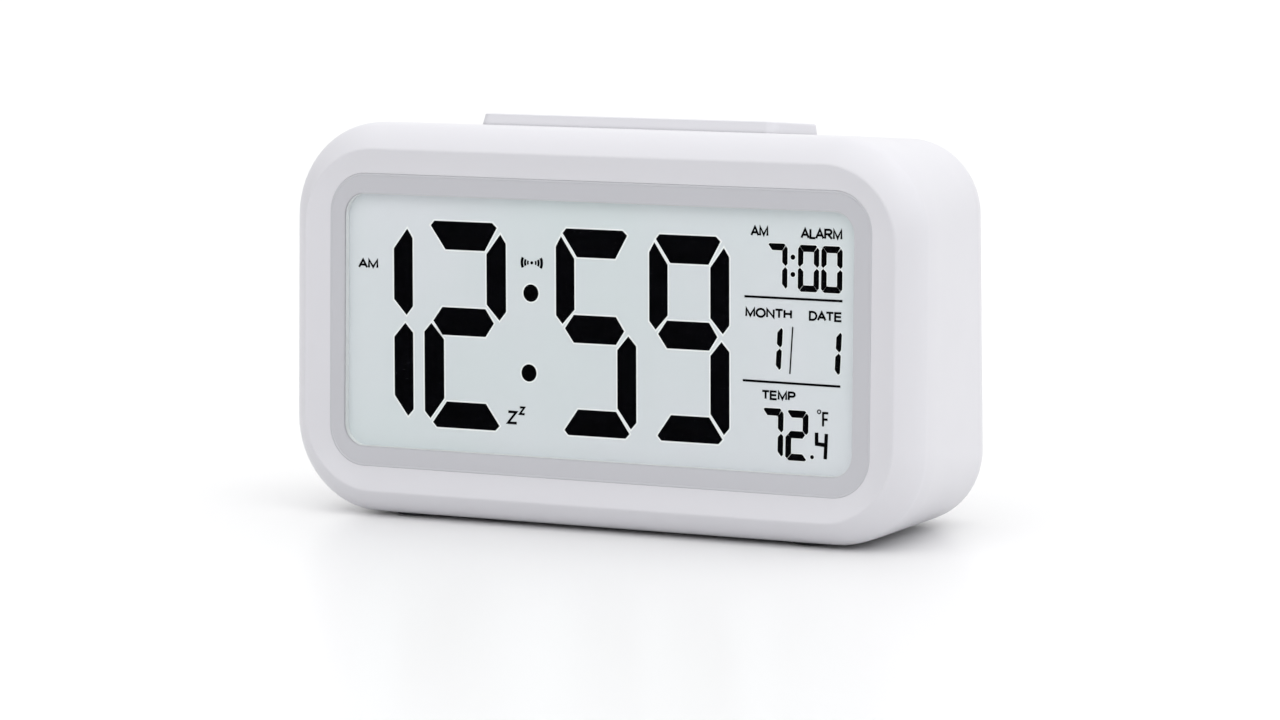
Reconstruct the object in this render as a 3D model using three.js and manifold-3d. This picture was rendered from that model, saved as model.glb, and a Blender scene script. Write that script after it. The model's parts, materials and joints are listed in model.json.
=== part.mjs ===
// A free-standing LCD alarm clock with a press bar for snooze and light on its top.
// Millimetres. X runs to the right as seen from the front, Y to the back and Z up.
// The origin is under the middle of the clock, on the surface that its feet stand on.
import * as THREE from 'three';
import { mergeVertices } from 'three/addons/utils/BufferGeometryUtils.js';
import Module from 'manifold-3d';

const wasm = await Module();
wasm.setup();

// ---------------------------------------------------------------- driving dimensions

// Housing
const WIDTH = 135;
const HEIGHT = 75; // without the feet and the press bar
const DEPTH = 45; // front edge to the faces of the rear buttons
const FOOT_PROUD = 0.6;
const LEAN = THREE.MathUtils.degToRad(3); // the front face leans back
const WALL = 2.3;
const CORNER = 17.8; // corner radius of the housing's widest outline
const FRONT_Y = -DEPTH / 2;
const BUTTON_PROUD = 0.8;
const BACK_Y = DEPTH / 2 - BUTTON_PROUD;

// Rounded front edge, the shallow dish inside it, and the display opening
const FILLET = { depth: 5.8, rise: 2.6, side: 4.1, height: 4.6, corner: 14.9 };
const NOSE = 1.2; // extra wall behind the rounded front edge
const OPENING = { width: 116.7, height: 56.6, corner: 7.8, depth: 1.0 };
const WINDOW = { width: 109.6, height: 48.8, corner: 4.3, depth: 1.3, shift: -0.35 };
const LIP_BACK = 2.6; // inner face of the front wall, behind the front edge
const FRAME_FLANGE = { width: 118.4, height: 59.2, corner: 8.6, back: 3.5 };
const LENS_REBATE = { width: 113.4, height: 52.6, corner: 2, depth: 1.9 };
const LENS_FLANGE = { width: 113, height: 52.2, corner: 1.8 };
const LCD = { width: 112.8, height: 52.2, corner: 1.7 };
const HOLDER = { width: 116.8, height: 58.2, corner: 3 };
const LIGHT = { halfWidth: 54.4, low: -24.2, high: 25.4 }; // film and light guide

// Draft towards the back, and the rounded rear edge
const REAR = { side: 3.2, top: 2.5, corner: 13.8, round: 9.3, pull: 9 };
const CAP_Y = BACK_Y - REAR.round;
const SEAM_Y = 17;
const SEAM_GAP = 0.25;
const COVER_WALL = 2;
const COVER_INNER_Y = BACK_Y - COVER_WALL;

// Frame of the front face: its centre, with Y square to the face
const FACE_Z = FOOT_PROUD + HEIGHT / 2;
const FACE_Y = FRONT_Y + (HEIGHT / 2 - FILLET.height) * Math.tan(LEAN);

// Press bar on the top
const BAR = { length: 64.4, depth: 19.4, y: 3.1, top: 76.3, corner: 2.5, draft: 0.3, edge: 0.4, lean: 0.8 };
const BAR_GAP = 0.3; // round the bar, in its slot
const BAR_FLANGE = 0.9;
const BAR_SHOULDER = 2.6; // below the bar's top, where its draft starts
const BAR_FLOOR = 69.9;
const BAR_CEILING = 73.6;
const POST_X = 27;
const TOP_SLOPE = 0.0965; // fall of the housing's top per millimetre towards the back
const BAR_WALL = 1.6;
const SNOOZE_BOARD = { top: 60.8, thickness: 1.6, halfLength: 46, front: -3.5, back: 9 };
const SNOOZE_BOSS_X = 42;

// Battery compartment
const TRAY = { x: -16.5, z: 30.8, width: 52.4, height: 35.6, floor: 7.6, wall: 1.5 };
const DOOR = { width: 54.4, height: 37.6, thickness: 1.8, corner: 1.8, gap: 0.3 };
const DOOR_TAB = { x: 15, halfWidth: 3, front: 18.2, back: 19.4 };
const CELL = { radius: 5.25, length: 43.3, nub: 0.9, pitch: 11.6, y: 13.2 };
const CELL_SHIFT = 1.3; // from the tray's middle towards the cell's button end
const CONTACT = { inset: 0.3, thickness: 0.5, front: 8.4, back: 18, reach: 4.4 };
const LUG = { low: 4, high: 9, halfWidth: 1.5 };

// Rear controls
const BUTTON_Z = 57.4;
const BUTTONS = [
  { name: 'mode', x: -33 },
  { name: 'set', x: -17 },
  { name: 'up', x: -1 },
  { name: 'down', x: 15 },
];
const BUTTON = { length: 11, height: 5.4, flange: 0.9, stem: 1.5 };
const BUTTON_BOARD = { left: -45, right: 44, low: 52.2, high: 63.4, front: 10.7, back: 12.3 };
const SWITCH_BACK = 15.9; // rear face of every small switch on the button board
const SLIDER = { x: 32.5, travel: 3 };
const SPEAKER = { x: 31, z: 29, pitch: 3.4, slot: 1.6, collar: 9.4, bore: 8.1 };
const SPEAKER_SLOTS = [10, 14, 16, 14, 10];
const VENT = { x: 31, z: 13.3, pitch: 2.6, length: 9, slot: 1.2 };

// Screws and feet
const CASE_SCREW = { x: 50, low: 15.1, high: 58.6 };
const BOARD_SCREW = { x: 61.9, z: 15.5 };
const BUTTON_SCREW_X = [-42.2, 24.6];
const FOOT = { x: 43, front: -12, back: 7, radius: 5, thickness: 1.7 };

// Display stack, as depths behind the front face
const BEHIND = {
  lensFront: 1.4, lensFlange: 1.95, lensBack: 2.6,
  lcdFront: 2.7, lcdBack: 4.5,
  filmFront: 4.6, filmBack: 4.9,
  guideFront: 5, guideBack: 7.4,
  holderFront: 3.7, holderPocket: 7.6, holderBack: 9.85,
  boardFront: 9.95, boardBack: 11.6,
};

// Fineness: a quarter turn has twice as many steps as these say
const CURVE = 4; // the housing's own corners
const SMALL = 1; // corners of small pieces and of slots
const WIRE = 2; // a round section of 4 sides
const ROUND = 12; // sides of a small round piece

// ---------------------------------------------------------------- solids and shapes

// Turns a closed geometry into a solid that can be cut and joined.
function solid(geometry) {
  const bare = geometry.clone();
  bare.deleteAttribute('normal');
  bare.deleteAttribute('uv');
  const merged = mergeVertices(bare, 1e-4);
  return new wasm.Manifold(new wasm.Mesh({
    numProp: 3,
    vertProperties: Float32Array.from(merged.attributes.position.array),
    triVerts: Uint32Array.from(merged.index.array),
  }));
}

// Turns a solid back into a geometry.
function geometryOf(manifold) {
  const mesh = manifold.getMesh();
  const geometry = new THREE.BufferGeometry();
  geometry.setAttribute('position', new THREE.BufferAttribute(mesh.vertProperties, 3));
  geometry.setIndex(new THREE.BufferAttribute(mesh.triVerts, 1));
  geometry.computeVertexNormals();
  return geometry;
}

const join = (first, ...others) => others.reduce((whole, piece) => whole.add(piece), first);
const cut = (first, ...others) => others.reduce((whole, piece) => whole.subtract(piece), first);

// A rounded rectangle between two corners.
function roundedBetween(left, low, right, high, radius) {
  const shape = new THREE.Shape();
  shape.absarc(right - radius, low + radius, radius, -Math.PI / 2, 0);
  shape.absarc(right - radius, high - radius, radius, 0, Math.PI / 2);
  shape.absarc(left + radius, high - radius, radius, Math.PI / 2, Math.PI);
  shape.absarc(left + radius, low + radius, radius, Math.PI, 1.5 * Math.PI);
  return shape;
}

// A rounded rectangle about a centre.
function rounded(width, height, radius, x = 0, y = 0) {
  return roundedBetween(x - width / 2, y - height / 2, x + width / 2, y + height / 2, radius);
}

// Extrusions: along Y of a shape drawn in X and Z, along Z of one in X and Y,
// and along X of one in Y and Z.
function alongY(shape, from, to, steps = CURVE) {
  const options = { depth: to - from, bevelEnabled: false, curveSegments: steps };
  const geometry = new THREE.ExtrudeGeometry(shape, options);
  geometry.rotateX(Math.PI / 2);
  geometry.translate(0, to, 0);
  return solid(geometry);
}

function alongZ(shape, from, to, steps = CURVE) {
  const options = { depth: to - from, bevelEnabled: false, curveSegments: steps };
  const geometry = new THREE.ExtrudeGeometry(shape, options);
  geometry.translate(0, 0, from);
  return solid(geometry);
}

function alongX(shape, from, to, steps = CURVE) {
  const options = { depth: to - from, bevelEnabled: false, curveSegments: steps };
  const geometry = new THREE.ExtrudeGeometry(shape, options);
  geometry.rotateX(Math.PI / 2);
  geometry.rotateZ(Math.PI / 2);
  geometry.translate(from, 0, 0);
  return solid(geometry);
}

function box(x0, x1, y0, y1, z0, z1) {
  const geometry = new THREE.BoxGeometry(x1 - x0, y1 - y0, z1 - z0);
  geometry.translate((x0 + x1) / 2, (y0 + y1) / 2, (z0 + z1) / 2);
  return solid(geometry);
}

function rodX(y, z, radius, from, to, sides = ROUND) {
  const geometry = new THREE.CylinderGeometry(radius, radius, to - from, sides);
  geometry.rotateZ(Math.PI / 2);
  geometry.translate((from + to) / 2, y, z);
  return solid(geometry);
}

function rodY(x, z, radius, from, to, sides = ROUND) {
  const geometry = new THREE.CylinderGeometry(radius, radius, to - from, sides);
  geometry.translate(x, (from + to) / 2, z);
  return solid(geometry);
}

function rodZ(x, y, radius, from, to, sides = ROUND) {
  const geometry = new THREE.CylinderGeometry(radius, radius, to - from, sides);
  geometry.rotateX(Math.PI / 2);
  geometry.translate(x, y, (from + to) / 2);
  return solid(geometry);
}

// A turned piece: profile points are [radius, position], and the axis runs along Y.
function turnedY(x, z, profile, sides = ROUND) {
  const points = profile.map(([radius, along]) => new THREE.Vector2(radius, along));
  const geometry = new THREE.LatheGeometry(points, sides);
  geometry.translate(x, 0, z);
  return solid(geometry);
}

// A round wire or lead along a curve.
function wire(curve, radius, steps) {
  const section = new THREE.Shape();
  section.absarc(0, 0, radius, 0, 2 * Math.PI);
  const options = { steps, bevelEnabled: false, extrudePath: curve, curveSegments: WIRE };
  return solid(new THREE.ExtrudeGeometry(section, options));
}

// A flat cable: a band of even thickness along a curve in Y and Z, as wide as the X span.
function flatCable(points, thickness, left, right) {
  const curve = new THREE.SplineCurve(points.map(([y, z]) => new THREE.Vector2(y, z)));
  const steps = 12;
  const near = [];
  const far = [];
  for (let i = 0; i <= steps; i += 1) {
    const point = curve.getPoint(i / steps);
    const tangent = curve.getTangent(i / steps);
    const normal = new THREE.Vector2(-tangent.y, tangent.x).multiplyScalar(thickness / 2);
    near.push(point.clone().sub(normal));
    far.unshift(point.clone().add(normal));
  }
  return alongX(new THREE.Shape([...near, ...far]), left, right);
}

// A helix that may narrow as it rises, about an axis given by a mapping of its points.
class Helix extends THREE.Curve {
  constructor(startRadius, endRadius, length, turns, place) {
    super();
    Object.assign(this, { startRadius, endRadius, length, turns, place });
  }

  getPoint(t, target = new THREE.Vector3()) {
    const radius = THREE.MathUtils.lerp(this.startRadius, this.endRadius, t);
    const angle = 2 * Math.PI * this.turns * t;
    const along = this.length * t;
    return target.copy(this.place(radius * Math.cos(angle), radius * Math.sin(angle), along));
  }
}

function signedVolume(positions, index) {
  const corner = [0, 1, 2].map(() => new THREE.Vector3());
  let six = 0;
  for (let i = 0; i < index.length; i += 3) {
    corner.forEach((point, k) => point.fromArray(positions, 3 * index[i + k]));
    six += corner[0].dot(corner[1].clone().cross(corner[2]));
  }
  return six / 6;
}

// Skins a row of convex outlines with matching points into one closed body.
function loft(rings) {
  const count = rings[0].length;
  const last = (rings.length - 1) * count;
  const positions = rings.flat().flatMap((point) => point.toArray());
  const index = [];
  for (let start = 0; start < last; start += count) {
    for (let i = 0; i < count; i += 1) {
      const a = start + i;
      const b = start + ((i + 1) % count);
      index.push(a, a + count, b);
      index.push(b, a + count, b + count);
    }
  }
  for (let i = 1; i < count - 1; i += 1) {
    index.push(0, i, i + 1);
    index.push(last, last + i + 1, last + i);
  }
  if (signedVolume(positions, index) < 0) {
    index.reverse();
  }
  const geometry = new THREE.BufferGeometry();
  geometry.setAttribute('position', new THREE.Float32BufferAttribute(positions, 3));
  geometry.setIndex(index);
  return solid(geometry);
}

// ---------------------------------------------------------------- materials and nodes

function plastic(color, roughness = 0.4) {
  return () => new THREE.MeshStandardMaterial({ color, roughness, metalness: 0 });
}

function metal(color, roughness = 0.3) {
  return () => new THREE.MeshStandardMaterial({ color, roughness, metalness: 1 });
}

function clear(color, opacity) {
  const look = { color, roughness: 0.05, metalness: 0, transparent: true, opacity };
  return () => new THREE.MeshStandardMaterial(look);
}

const whiteShell = plastic('#f1f1f4', 0.35);
const trimGrey = plastic('#dcdde1', 0.35);
const lensClear = clear('#ffffff', 0.25);
const lcdGrey = plastic('#c8d2d4', 0.5);
const filmSilver = plastic('#d8dcde', 0.6);
const guideClear = clear('#eef6ff', 0.5);
const holderWhite = plastic('#e8e8e8', 0.6);
const boardGreen = plastic('#2d6a3e', 0.5);
const blackPlastic = plastic('#18181a', 0.6);
const rubberGrey = plastic('#55585c', 0.9);
const stripRubber = plastic('#3b4654', 0.9);
const ledWhite = plastic('#f6f3dd', 0.4);
const buttonGrey = plastic('#c9cbd0', 0.45);
const steel = metal('#b9bbbf', 0.35);
const nickel = metal('#d6d3c8', 0.3);
const cellGreen = plastic('#3f7d4f', 0.4);
const cableWhite = plastic('#d9dade', 0.6);
const wireRed = plastic('#c02a24', 0.5);
const wireBlack = plastic('#151515', 0.5);

const clock = new THREE.Group();

// Everything square to the leaning front face lives in this group. Its origin is the face's centre.
const face = new THREE.Group();
face.position.set(0, FACE_Y, FACE_Z);
face.rotation.x = -LEAN;
clock.add(face);

function addPart(name, body, material, parent = clock) {
  const mesh = new THREE.Mesh(geometryOf(body), material());
  mesh.name = name;
  parent.add(mesh);
}

// Moves a solid drawn in the face's frame to the clock's frame.
function fromFace(body) {
  face.updateMatrixWorld(true);
  const turned = geometryOf(body);
  turned.applyMatrix4(face.matrixWorld);
  return solid(turned);
}

// ---------------------------------------------------------------- housing outlines

// A station's outline, placed by a rule that turns (x, height) into a point.
function outline(side, top, bottom, radius, place) {
  const left = -WIDTH / 2 + side;
  const shape = roundedBetween(left, bottom, -left, HEIGHT - top, radius);
  return shape.getPoints(CURVE).map((point) => place(point.x, point.y));
}

// Places an outline parallel to the leaning front face.
function leaning(depth) {
  const slope = Math.tan(LEAN);
  return (x, height) => {
    const y = FACE_Y + depth + (height - HEIGHT / 2) * slope;
    return new THREE.Vector3(x, y, FOOT_PROUD + height);
  };
}

function upright(y) {
  return (x, height) => new THREE.Vector3(x, y, FOOT_PROUD + height);
}

// The rounded front edge: it leaves the dish's rim at an angle and ends flush with the sides.
function filletRing(share) {
  const inset = (1 - share) ** 2;
  const depth = 2 * share * (1 - share) * FILLET.rise + share ** 2 * FILLET.depth;
  const side = FILLET.side * inset;
  const height = FILLET.height * inset;
  const radius = THREE.MathUtils.lerp(CORNER, FILLET.corner, inset);
  return outline(side, height, height, radius, leaning(depth));
}

function openingRing() {
  const side = (WIDTH - OPENING.width) / 2;
  const height = (HEIGHT - OPENING.height) / 2;
  return outline(side, height, height, OPENING.corner, leaning(OPENING.depth));
}

// An outline of the rear part, `wall` inside the outer skin.
function rearRing(y, wall = 0) {
  const share = THREE.MathUtils.clamp((y - CAP_Y) / REAR.round, 0, 1);
  const pull = REAR.pull * (1 - Math.sqrt(1 - share * share));
  const radius = REAR.corner - 0.6 * pull - wall;
  return outline(REAR.side + pull + wall, REAR.top + pull + wall, pull + wall, radius, upright(y));
}

function spread(from, to, count) {
  return Array.from({ length: count + 1 }, (_, i) => from + ((to - from) * i) / count);
}

// ---------------------------------------------------------------- housing shell

function housingShell() {
  const outer = loft([
    openingRing(),
    ...spread(0, 1, 5).map(filletRing),
    ...spread(CAP_Y, SEAM_Y, 2).map((y) => rearRing(y)),
  ]);
  const thick = WALL + NOSE;
  const cavity = loft([
    outline(thick, thick, thick, CORNER - thick, leaning(LIP_BACK)),
    outline(WALL, WALL, WALL, CORNER - WALL, leaning(FILLET.depth)),
    rearRing(CAP_Y, WALL),
    rearRing(SEAM_Y, WALL),
    rearRing(SEAM_Y, WALL).map((point) => point.clone().setY(SEAM_Y + 2)),
  ]);
  const display = rounded(OPENING.width + 0.1, OPENING.height + 0.1, OPENING.corner);
  const slot = barOutline(BAR_GAP);
  const feet = footPlaces().map(([x, y]) => rodZ(x, y, FOOT.radius + 0.2, -1, FOOT.thickness + 0.1, 20));
  const hollow = cut(
    outer,
    cavity,
    fromFace(alongY(display, -4, LIP_BACK + 4)),
    alongZ(slot, BAR_FLOOR - 6, BAR.top + 6, 2),
    ...feet,
  );
  const bosses = [...caseBosses(), ...boardBosses(), ...snoozeBosses()];
  const holes = [...casePilots(), ...boardPilots(), ...snoozePilots()];
  return cut(join(hollow, ...bosses.map((boss) => boss.intersect(outer))), ...holes);
}

// The bar's outline seen from above, made larger by an even amount.
function barOutline(grow, lean = 0) {
  const { length, depth, corner, y } = BAR;
  return rounded(length + 2 * grow, depth + 2 * grow - lean, corner + grow, 0, y + lean / 2);
}

function footPlaces() {
  return [-FOOT.x, FOOT.x].flatMap((x) => [[x, FOOT.front], [x, FOOT.back]]);
}

function caseScrewPlaces() {
  return [-CASE_SCREW.x, CASE_SCREW.x].flatMap((x) => [[x, CASE_SCREW.low], [x, CASE_SCREW.high]]);
}

function boardScrewPlaces() {
  return [-BOARD_SCREW.x, BOARD_SCREW.x].flatMap((x) => [[x, -BOARD_SCREW.z], [x, BOARD_SCREW.z]]);
}

// Long posts behind the circuit board, each tied to the side wall by a web.
function caseBosses() {
  return caseScrewPlaces().flatMap(([x, z]) => {
    const wallSide = Math.sign(x) * (WIDTH / 2);
    const web = box(Math.min(x, wallSide), Math.max(x, wallSide), -1, CAP_Y, z - 1, z + 1);
    return [rodY(x, z, 3.5, -1, 15), web];
  });
}

function casePilots() {
  return caseScrewPlaces().map(([x, z]) => rodY(x, z, 1.5, 4, 16, 12));
}

function boardBosses() {
  return boardScrewPlaces().map(([x, z]) => fromFace(rodY(x, z, 2.3, 2, BEHIND.holderBack)));
}

function boardPilots() {
  return boardScrewPlaces().map(([x, z]) => fromFace(rodY(x, z, 1.25, 4.5, 12, 12)));
}

function snoozeBosses() {
  return [-SNOOZE_BOSS_X, SNOOZE_BOSS_X].map((x) => rodZ(x, BAR.y, 3, SNOOZE_BOARD.top + 0.1, 74));
}

function snoozePilots() {
  return [-SNOOZE_BOSS_X, SNOOZE_BOSS_X].map((x) => rodZ(x, BAR.y, 1.1, 55, 68, 12));
}

addPart('housing_shell', housingShell(), whiteShell);

function foot([x, y]) {
  return rodZ(x, y, FOOT.radius, 0, FOOT.thickness, 20);
}

footPlaces().forEach((place) => {
  const side = place[0] < 0 ? 'left' : 'right';
  const end = place[1] < 0 ? 'front' : 'rear';
  addPart(`foot_${end}_${side}`, foot(place), rubberGrey);
});

// ---------------------------------------------------------------- display, in the face's frame

function facePlate({ width, height, corner }, shift = WINDOW.shift) {
  return rounded(width, height, corner, shift);
}

function displayFrame() {
  const place = (depth, shift) => (point) => new THREE.Vector3(point.x + shift, depth, point.y);
  const ring = (width, height, corner, depth, shift = 0) =>
    rounded(width, height, corner).getPoints(CURVE).map(place(depth, shift));
  const width = OPENING.width - 0.2;
  const height = OPENING.height - 0.2;
  const body = loft([
    ring(WINDOW.width, WINDOW.height, WINDOW.corner, WINDOW.depth, WINDOW.shift),
    ring(width, height, OPENING.corner, OPENING.depth),
    ring(width, height, OPENING.corner, LIP_BACK + 0.5),
  ]);
  const flange = alongY(facePlate(FRAME_FLANGE, 0), LIP_BACK + 0.15, FRAME_FLANGE.back, 2);
  const rebate = alongY(facePlate(LENS_REBATE), LENS_REBATE.depth, FRAME_FLANGE.back + 1, SMALL);
  return cut(join(body, flange), alongY(facePlate(WINDOW), 0, 3), rebate);
}

function displayLens() {
  const { lensFront, lensFlange, lensBack } = BEHIND;
  const pane = rounded(WINDOW.width - 0.3, WINDOW.height - 0.3, WINDOW.corner - 0.15, WINDOW.shift);
  const flange = alongY(facePlate(LENS_FLANGE), lensFlange, lensBack, SMALL);
  return join(alongY(pane, lensFront, lensFlange + 0.2), flange);
}

function faceBox(left, right, low, high, front, back) {
  return box(left, right, front, back, low, high);
}

function lcdHolder() {
  const { holderFront, holderPocket, holderBack } = BEHIND;
  return cut(
    alongY(facePlate(HOLDER, 0), holderFront, holderBack, SMALL),
    faceBox(-56.9, 56.7, -26.5, 26.5, holderFront - 1, holderPocket),
    faceBox(-50.5, 50.5, -26.4, -24.4, holderPocket - 1, holderBack + 1),
  );
}

function mainBoard() {
  const { boardFront, boardBack } = BEHIND;
  const ears = [-BOARD_SCREW.z, BOARD_SCREW.z].map((z) =>
    faceBox(-63.7, 63.7, z - 4, z + 4, boardFront, boardBack));
  const holes = boardScrewPlaces().map(([x, z]) => rodY(x, z, 1.3, boardFront - 1, boardBack + 1, 12));
  return cut(join(faceBox(-59, 59, -28.5, 28.5, boardFront, boardBack), ...ears), ...holes);
}

// A pan-head screw whose head ends at `head` and whose tip points to the front.
function screwY(x, z, seat, head, tip, headRadius, shankRadius) {
  const profile = [
    [0, tip], [shankRadius, tip + 1], [shankRadius, seat],
    [headRadius, seat], [headRadius * 0.8, head], [0, head],
  ];
  const recess = (wide, high) =>
    box(x - wide, x + wide, head - 0.7, head + 1, z - high, z + high);
  const arm = headRadius * 0.55;
  return cut(turnedY(x, z, profile, 10), recess(arm, 0.25), recess(0.25, arm));
}

function controllerChip() {
  const back = BEHIND.boardBack + 0.1;
  const rise = spread(0, Math.PI / 2, 3).map((turn) => [7 * Math.cos(turn), back + 1.8 * Math.sin(turn)]);
  const profile = [[0, back], ...rise.slice(0, -1), [0, back + 1.8]];
  return turnedY(6, 4, profile);
}

function temperatureSensor() {
  const back = BEHIND.boardBack + 0.1;
  const [x, z] = [46, -20];
  const leads = [-1, 1].map((side) => rodY(x + side, z, 0.3, back, back + 5, 6));
  const bead = [[0, 4], [1.6, 4.4], [1.8, 6], [1, 7.4], [0, 7.8]];
  return join(turnedY(x, z, bead.map(([radius, along]) => [radius, back + along])), ...leads);
}

addPart('display_frame', displayFrame(), trimGrey, face);
addPart('display_lens', displayLens(), lensClear, face);
const { lcdFront, lcdBack, filmFront, filmBack, guideFront, guideBack } = BEHIND;
const lightPlate = (front, back) =>
  faceBox(-LIGHT.halfWidth, LIGHT.halfWidth, LIGHT.low, LIGHT.high, front, back);
addPart('lcd_panel', alongY(facePlate(LCD), lcdFront, lcdBack, SMALL), lcdGrey, face);
addPart('reflector_film', lightPlate(filmFront, filmBack), filmSilver, face);
addPart('light_guide', lightPlate(guideFront, guideBack), guideClear, face);
[['left', -55.7], ['right', 55.7]].forEach(([side, x]) => {
  const led = faceBox(x - 0.8, x + 0.8, -4, 4, guideFront + 0.1, guideBack - 0.1);
  addPart(`backlight_led_${side}`, led, ledWhite, face);
});
addPart('lcd_holder', lcdHolder(), holderWhite, face);
const strip = faceBox(-50, 50, -26.1, -24.7, lcdBack + 0.1, BEHIND.boardFront - 0.05);
addPart('contact_strip', strip, stripRubber, face);
addPart('main_board', mainBoard(), boardGreen, face);
addPart('controller_chip', controllerChip(), blackPlastic, face);
addPart('clock_crystal', rodX(BEHIND.boardBack + 1.2, 8, 1, -26, -20, 12), steel, face);
addPart('temperature_sensor', temperatureSensor(), blackPlastic, face);
boardScrewPlaces().forEach(([x, z]) => {
  const side = x < 0 ? 'left' : 'right';
  const level = z < 0 ? 'lower' : 'upper';
  const { boardBack } = BEHIND;
  const screw = screwY(x, z, boardBack + 0.05, boardBack + 1.5, 5.5, 1.9, 1.05);
  addPart(`board_screw_${level}_${side}`, screw, steel, face);
});

// ---------------------------------------------------------------- press bar and its switch

// An outline of the bar, inset from its widest one, at a height that falls towards the back. Its front
// stands back further by the lean.
function barRing(inset, z, slope, lean = 0) {
  return barOutline(-inset, lean).getPoints(2).map((point) =>
    new THREE.Vector3(point.x, point.y, z - slope * (point.y - BAR.y)));
}

function snoozeBar() {
  const { top, draft, edge, lean } = BAR;
  const cap = loft([
    barRing(0, BAR_FLOOR, 0),
    barRing(0, top - BAR_SHOULDER, TOP_SLOPE),
    barRing(draft / 2, top - 0.6 * BAR_SHOULDER, TOP_SLOPE, lean / 2),
    barRing(draft, top - edge, TOP_SLOPE, lean),
    barRing(draft + 0.3 * edge, top - 0.3 * edge, TOP_SLOPE, lean),
    barRing(draft + edge, top, TOP_SLOPE, lean),
  ]);
  const flange = alongZ(barOutline(BAR_FLANGE), BAR_FLOOR - 1.2, BAR_FLOOR, SMALL);
  const hollow = alongZ(barOutline(-BAR_WALL), BAR_FLOOR - 3, BAR_CEILING, SMALL);
  const posts = [-POST_X, POST_X].map((x) => rodZ(x, BAR.y, 1.2, 57.6, BAR_CEILING + 0.5, 12));
  const stem = rodZ(0, BAR.y, 1.6, 63.4, BAR_CEILING + 0.5, 12);
  return join(cut(join(cap, flange), hollow), ...posts, stem);
}

function snoozeBoard() {
  const { top, thickness, halfLength, front, back } = SNOOZE_BOARD;
  const low = top - thickness;
  const holes = [
    ...[-POST_X, POST_X].map((x) => rodZ(x, BAR.y, 1.6, low - 1, top + 1, 12)),
    ...[-SNOOZE_BOSS_X, SNOOZE_BOSS_X].map((x) => rodZ(x, BAR.y, 1.3, low - 1, top + 1, 12)),
  ];
  return cut(box(-halfLength, halfLength, front, back, low, top), ...holes);
}

function snoozeSwitch() {
  const low = SNOOZE_BOARD.top + 0.05;
  const body = box(-3, 3, BAR.y - 3, BAR.y + 3, low, low + 3.6);
  return cut(body, rodZ(0, BAR.y, 1.9, low + 1.4, low + 5, 12));
}

// A return spring round a post, between the board and the ceiling of the bar.
function snoozeSpring(x) {
  const low = SNOOZE_BOARD.top + 0.35;
  const length = BAR_CEILING - 0.35 - low;
  const place = (a, b, along) => new THREE.Vector3(x + a, BAR.y + b, low + along);
  return wire(new Helix(2.1, 2.1, length, 5, place), 0.25, 40);
}

// A pan-head screw from below.
function screwZ(x, y, seat, tip, headRadius, shankRadius) {
  const head = rodZ(x, y, headRadius, seat - 1.3, seat, 12);
  const shank = rodZ(x, y, shankRadius, seat - 0.2, tip, 12);
  return cut(join(head, shank), box(x - 1.2, x + 1.2, y - 0.25, y + 0.25, seat - 2, seat - 0.8));
}

addPart('snooze_bar', snoozeBar(), whiteShell);
addPart('snooze_board', snoozeBoard(), boardGreen);
addPart('snooze_switch', snoozeSwitch(), blackPlastic);
[['left', -1], ['right', 1]].forEach(([side, sign]) => {
  const seat = SNOOZE_BOARD.top - SNOOZE_BOARD.thickness - 0.05;
  addPart(`snooze_spring_${side}`, snoozeSpring(sign * POST_X), steel);
  addPart(`snooze_screw_${side}`, screwZ(sign * SNOOZE_BOSS_X, BAR.y, seat, 66, 2, 0.95), steel);
});
const snoozeRibbon = [[-7.4, 54], [-4.5, 54.2], [-1.8, 55.8], [-1.2, 58.8]];
addPart('snooze_ribbon', flatCable(snoozeRibbon, 0.4, -24, -16), cableWhite);

// ---------------------------------------------------------------- rear cover

// A slot with round ends through the cover's back wall.
function roundSlot(length, height, x, z) {
  return alongY(rounded(length, height, height / 2 - 0.01, x, z), COVER_INNER_Y - 1, BACK_Y + 1, SMALL);
}

function soundSlots() {
  return SPEAKER_SLOTS.map((length, row) =>
    roundSlot(length, SPEAKER.slot, SPEAKER.x, SPEAKER.z + (row - 2) * SPEAKER.pitch));
}

function ventSlots() {
  return [-1, 0, 1].map((row) => roundSlot(VENT.length, VENT.slot, VENT.x, VENT.z + row * VENT.pitch));
}

// A ring in the cover that the buzzer sits in.
function speakerCollar() {
  const { x, z, collar, bore } = SPEAKER;
  return cut(rodY(x, z, collar, 14.2, COVER_INNER_Y + 0.5, 20), rodY(x, z, bore, 14, COVER_INNER_Y, 20));
}

// A box round the battery compartment, larger than its pocket by `grow` on every side.
function trayBox(grow, front, back) {
  const halfWidth = TRAY.width / 2 + grow;
  const halfHeight = TRAY.height / 2 + grow;
  return box(TRAY.x - halfWidth, TRAY.x + halfWidth, front, back, TRAY.z - halfHeight, TRAY.z + halfHeight);
}

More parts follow.
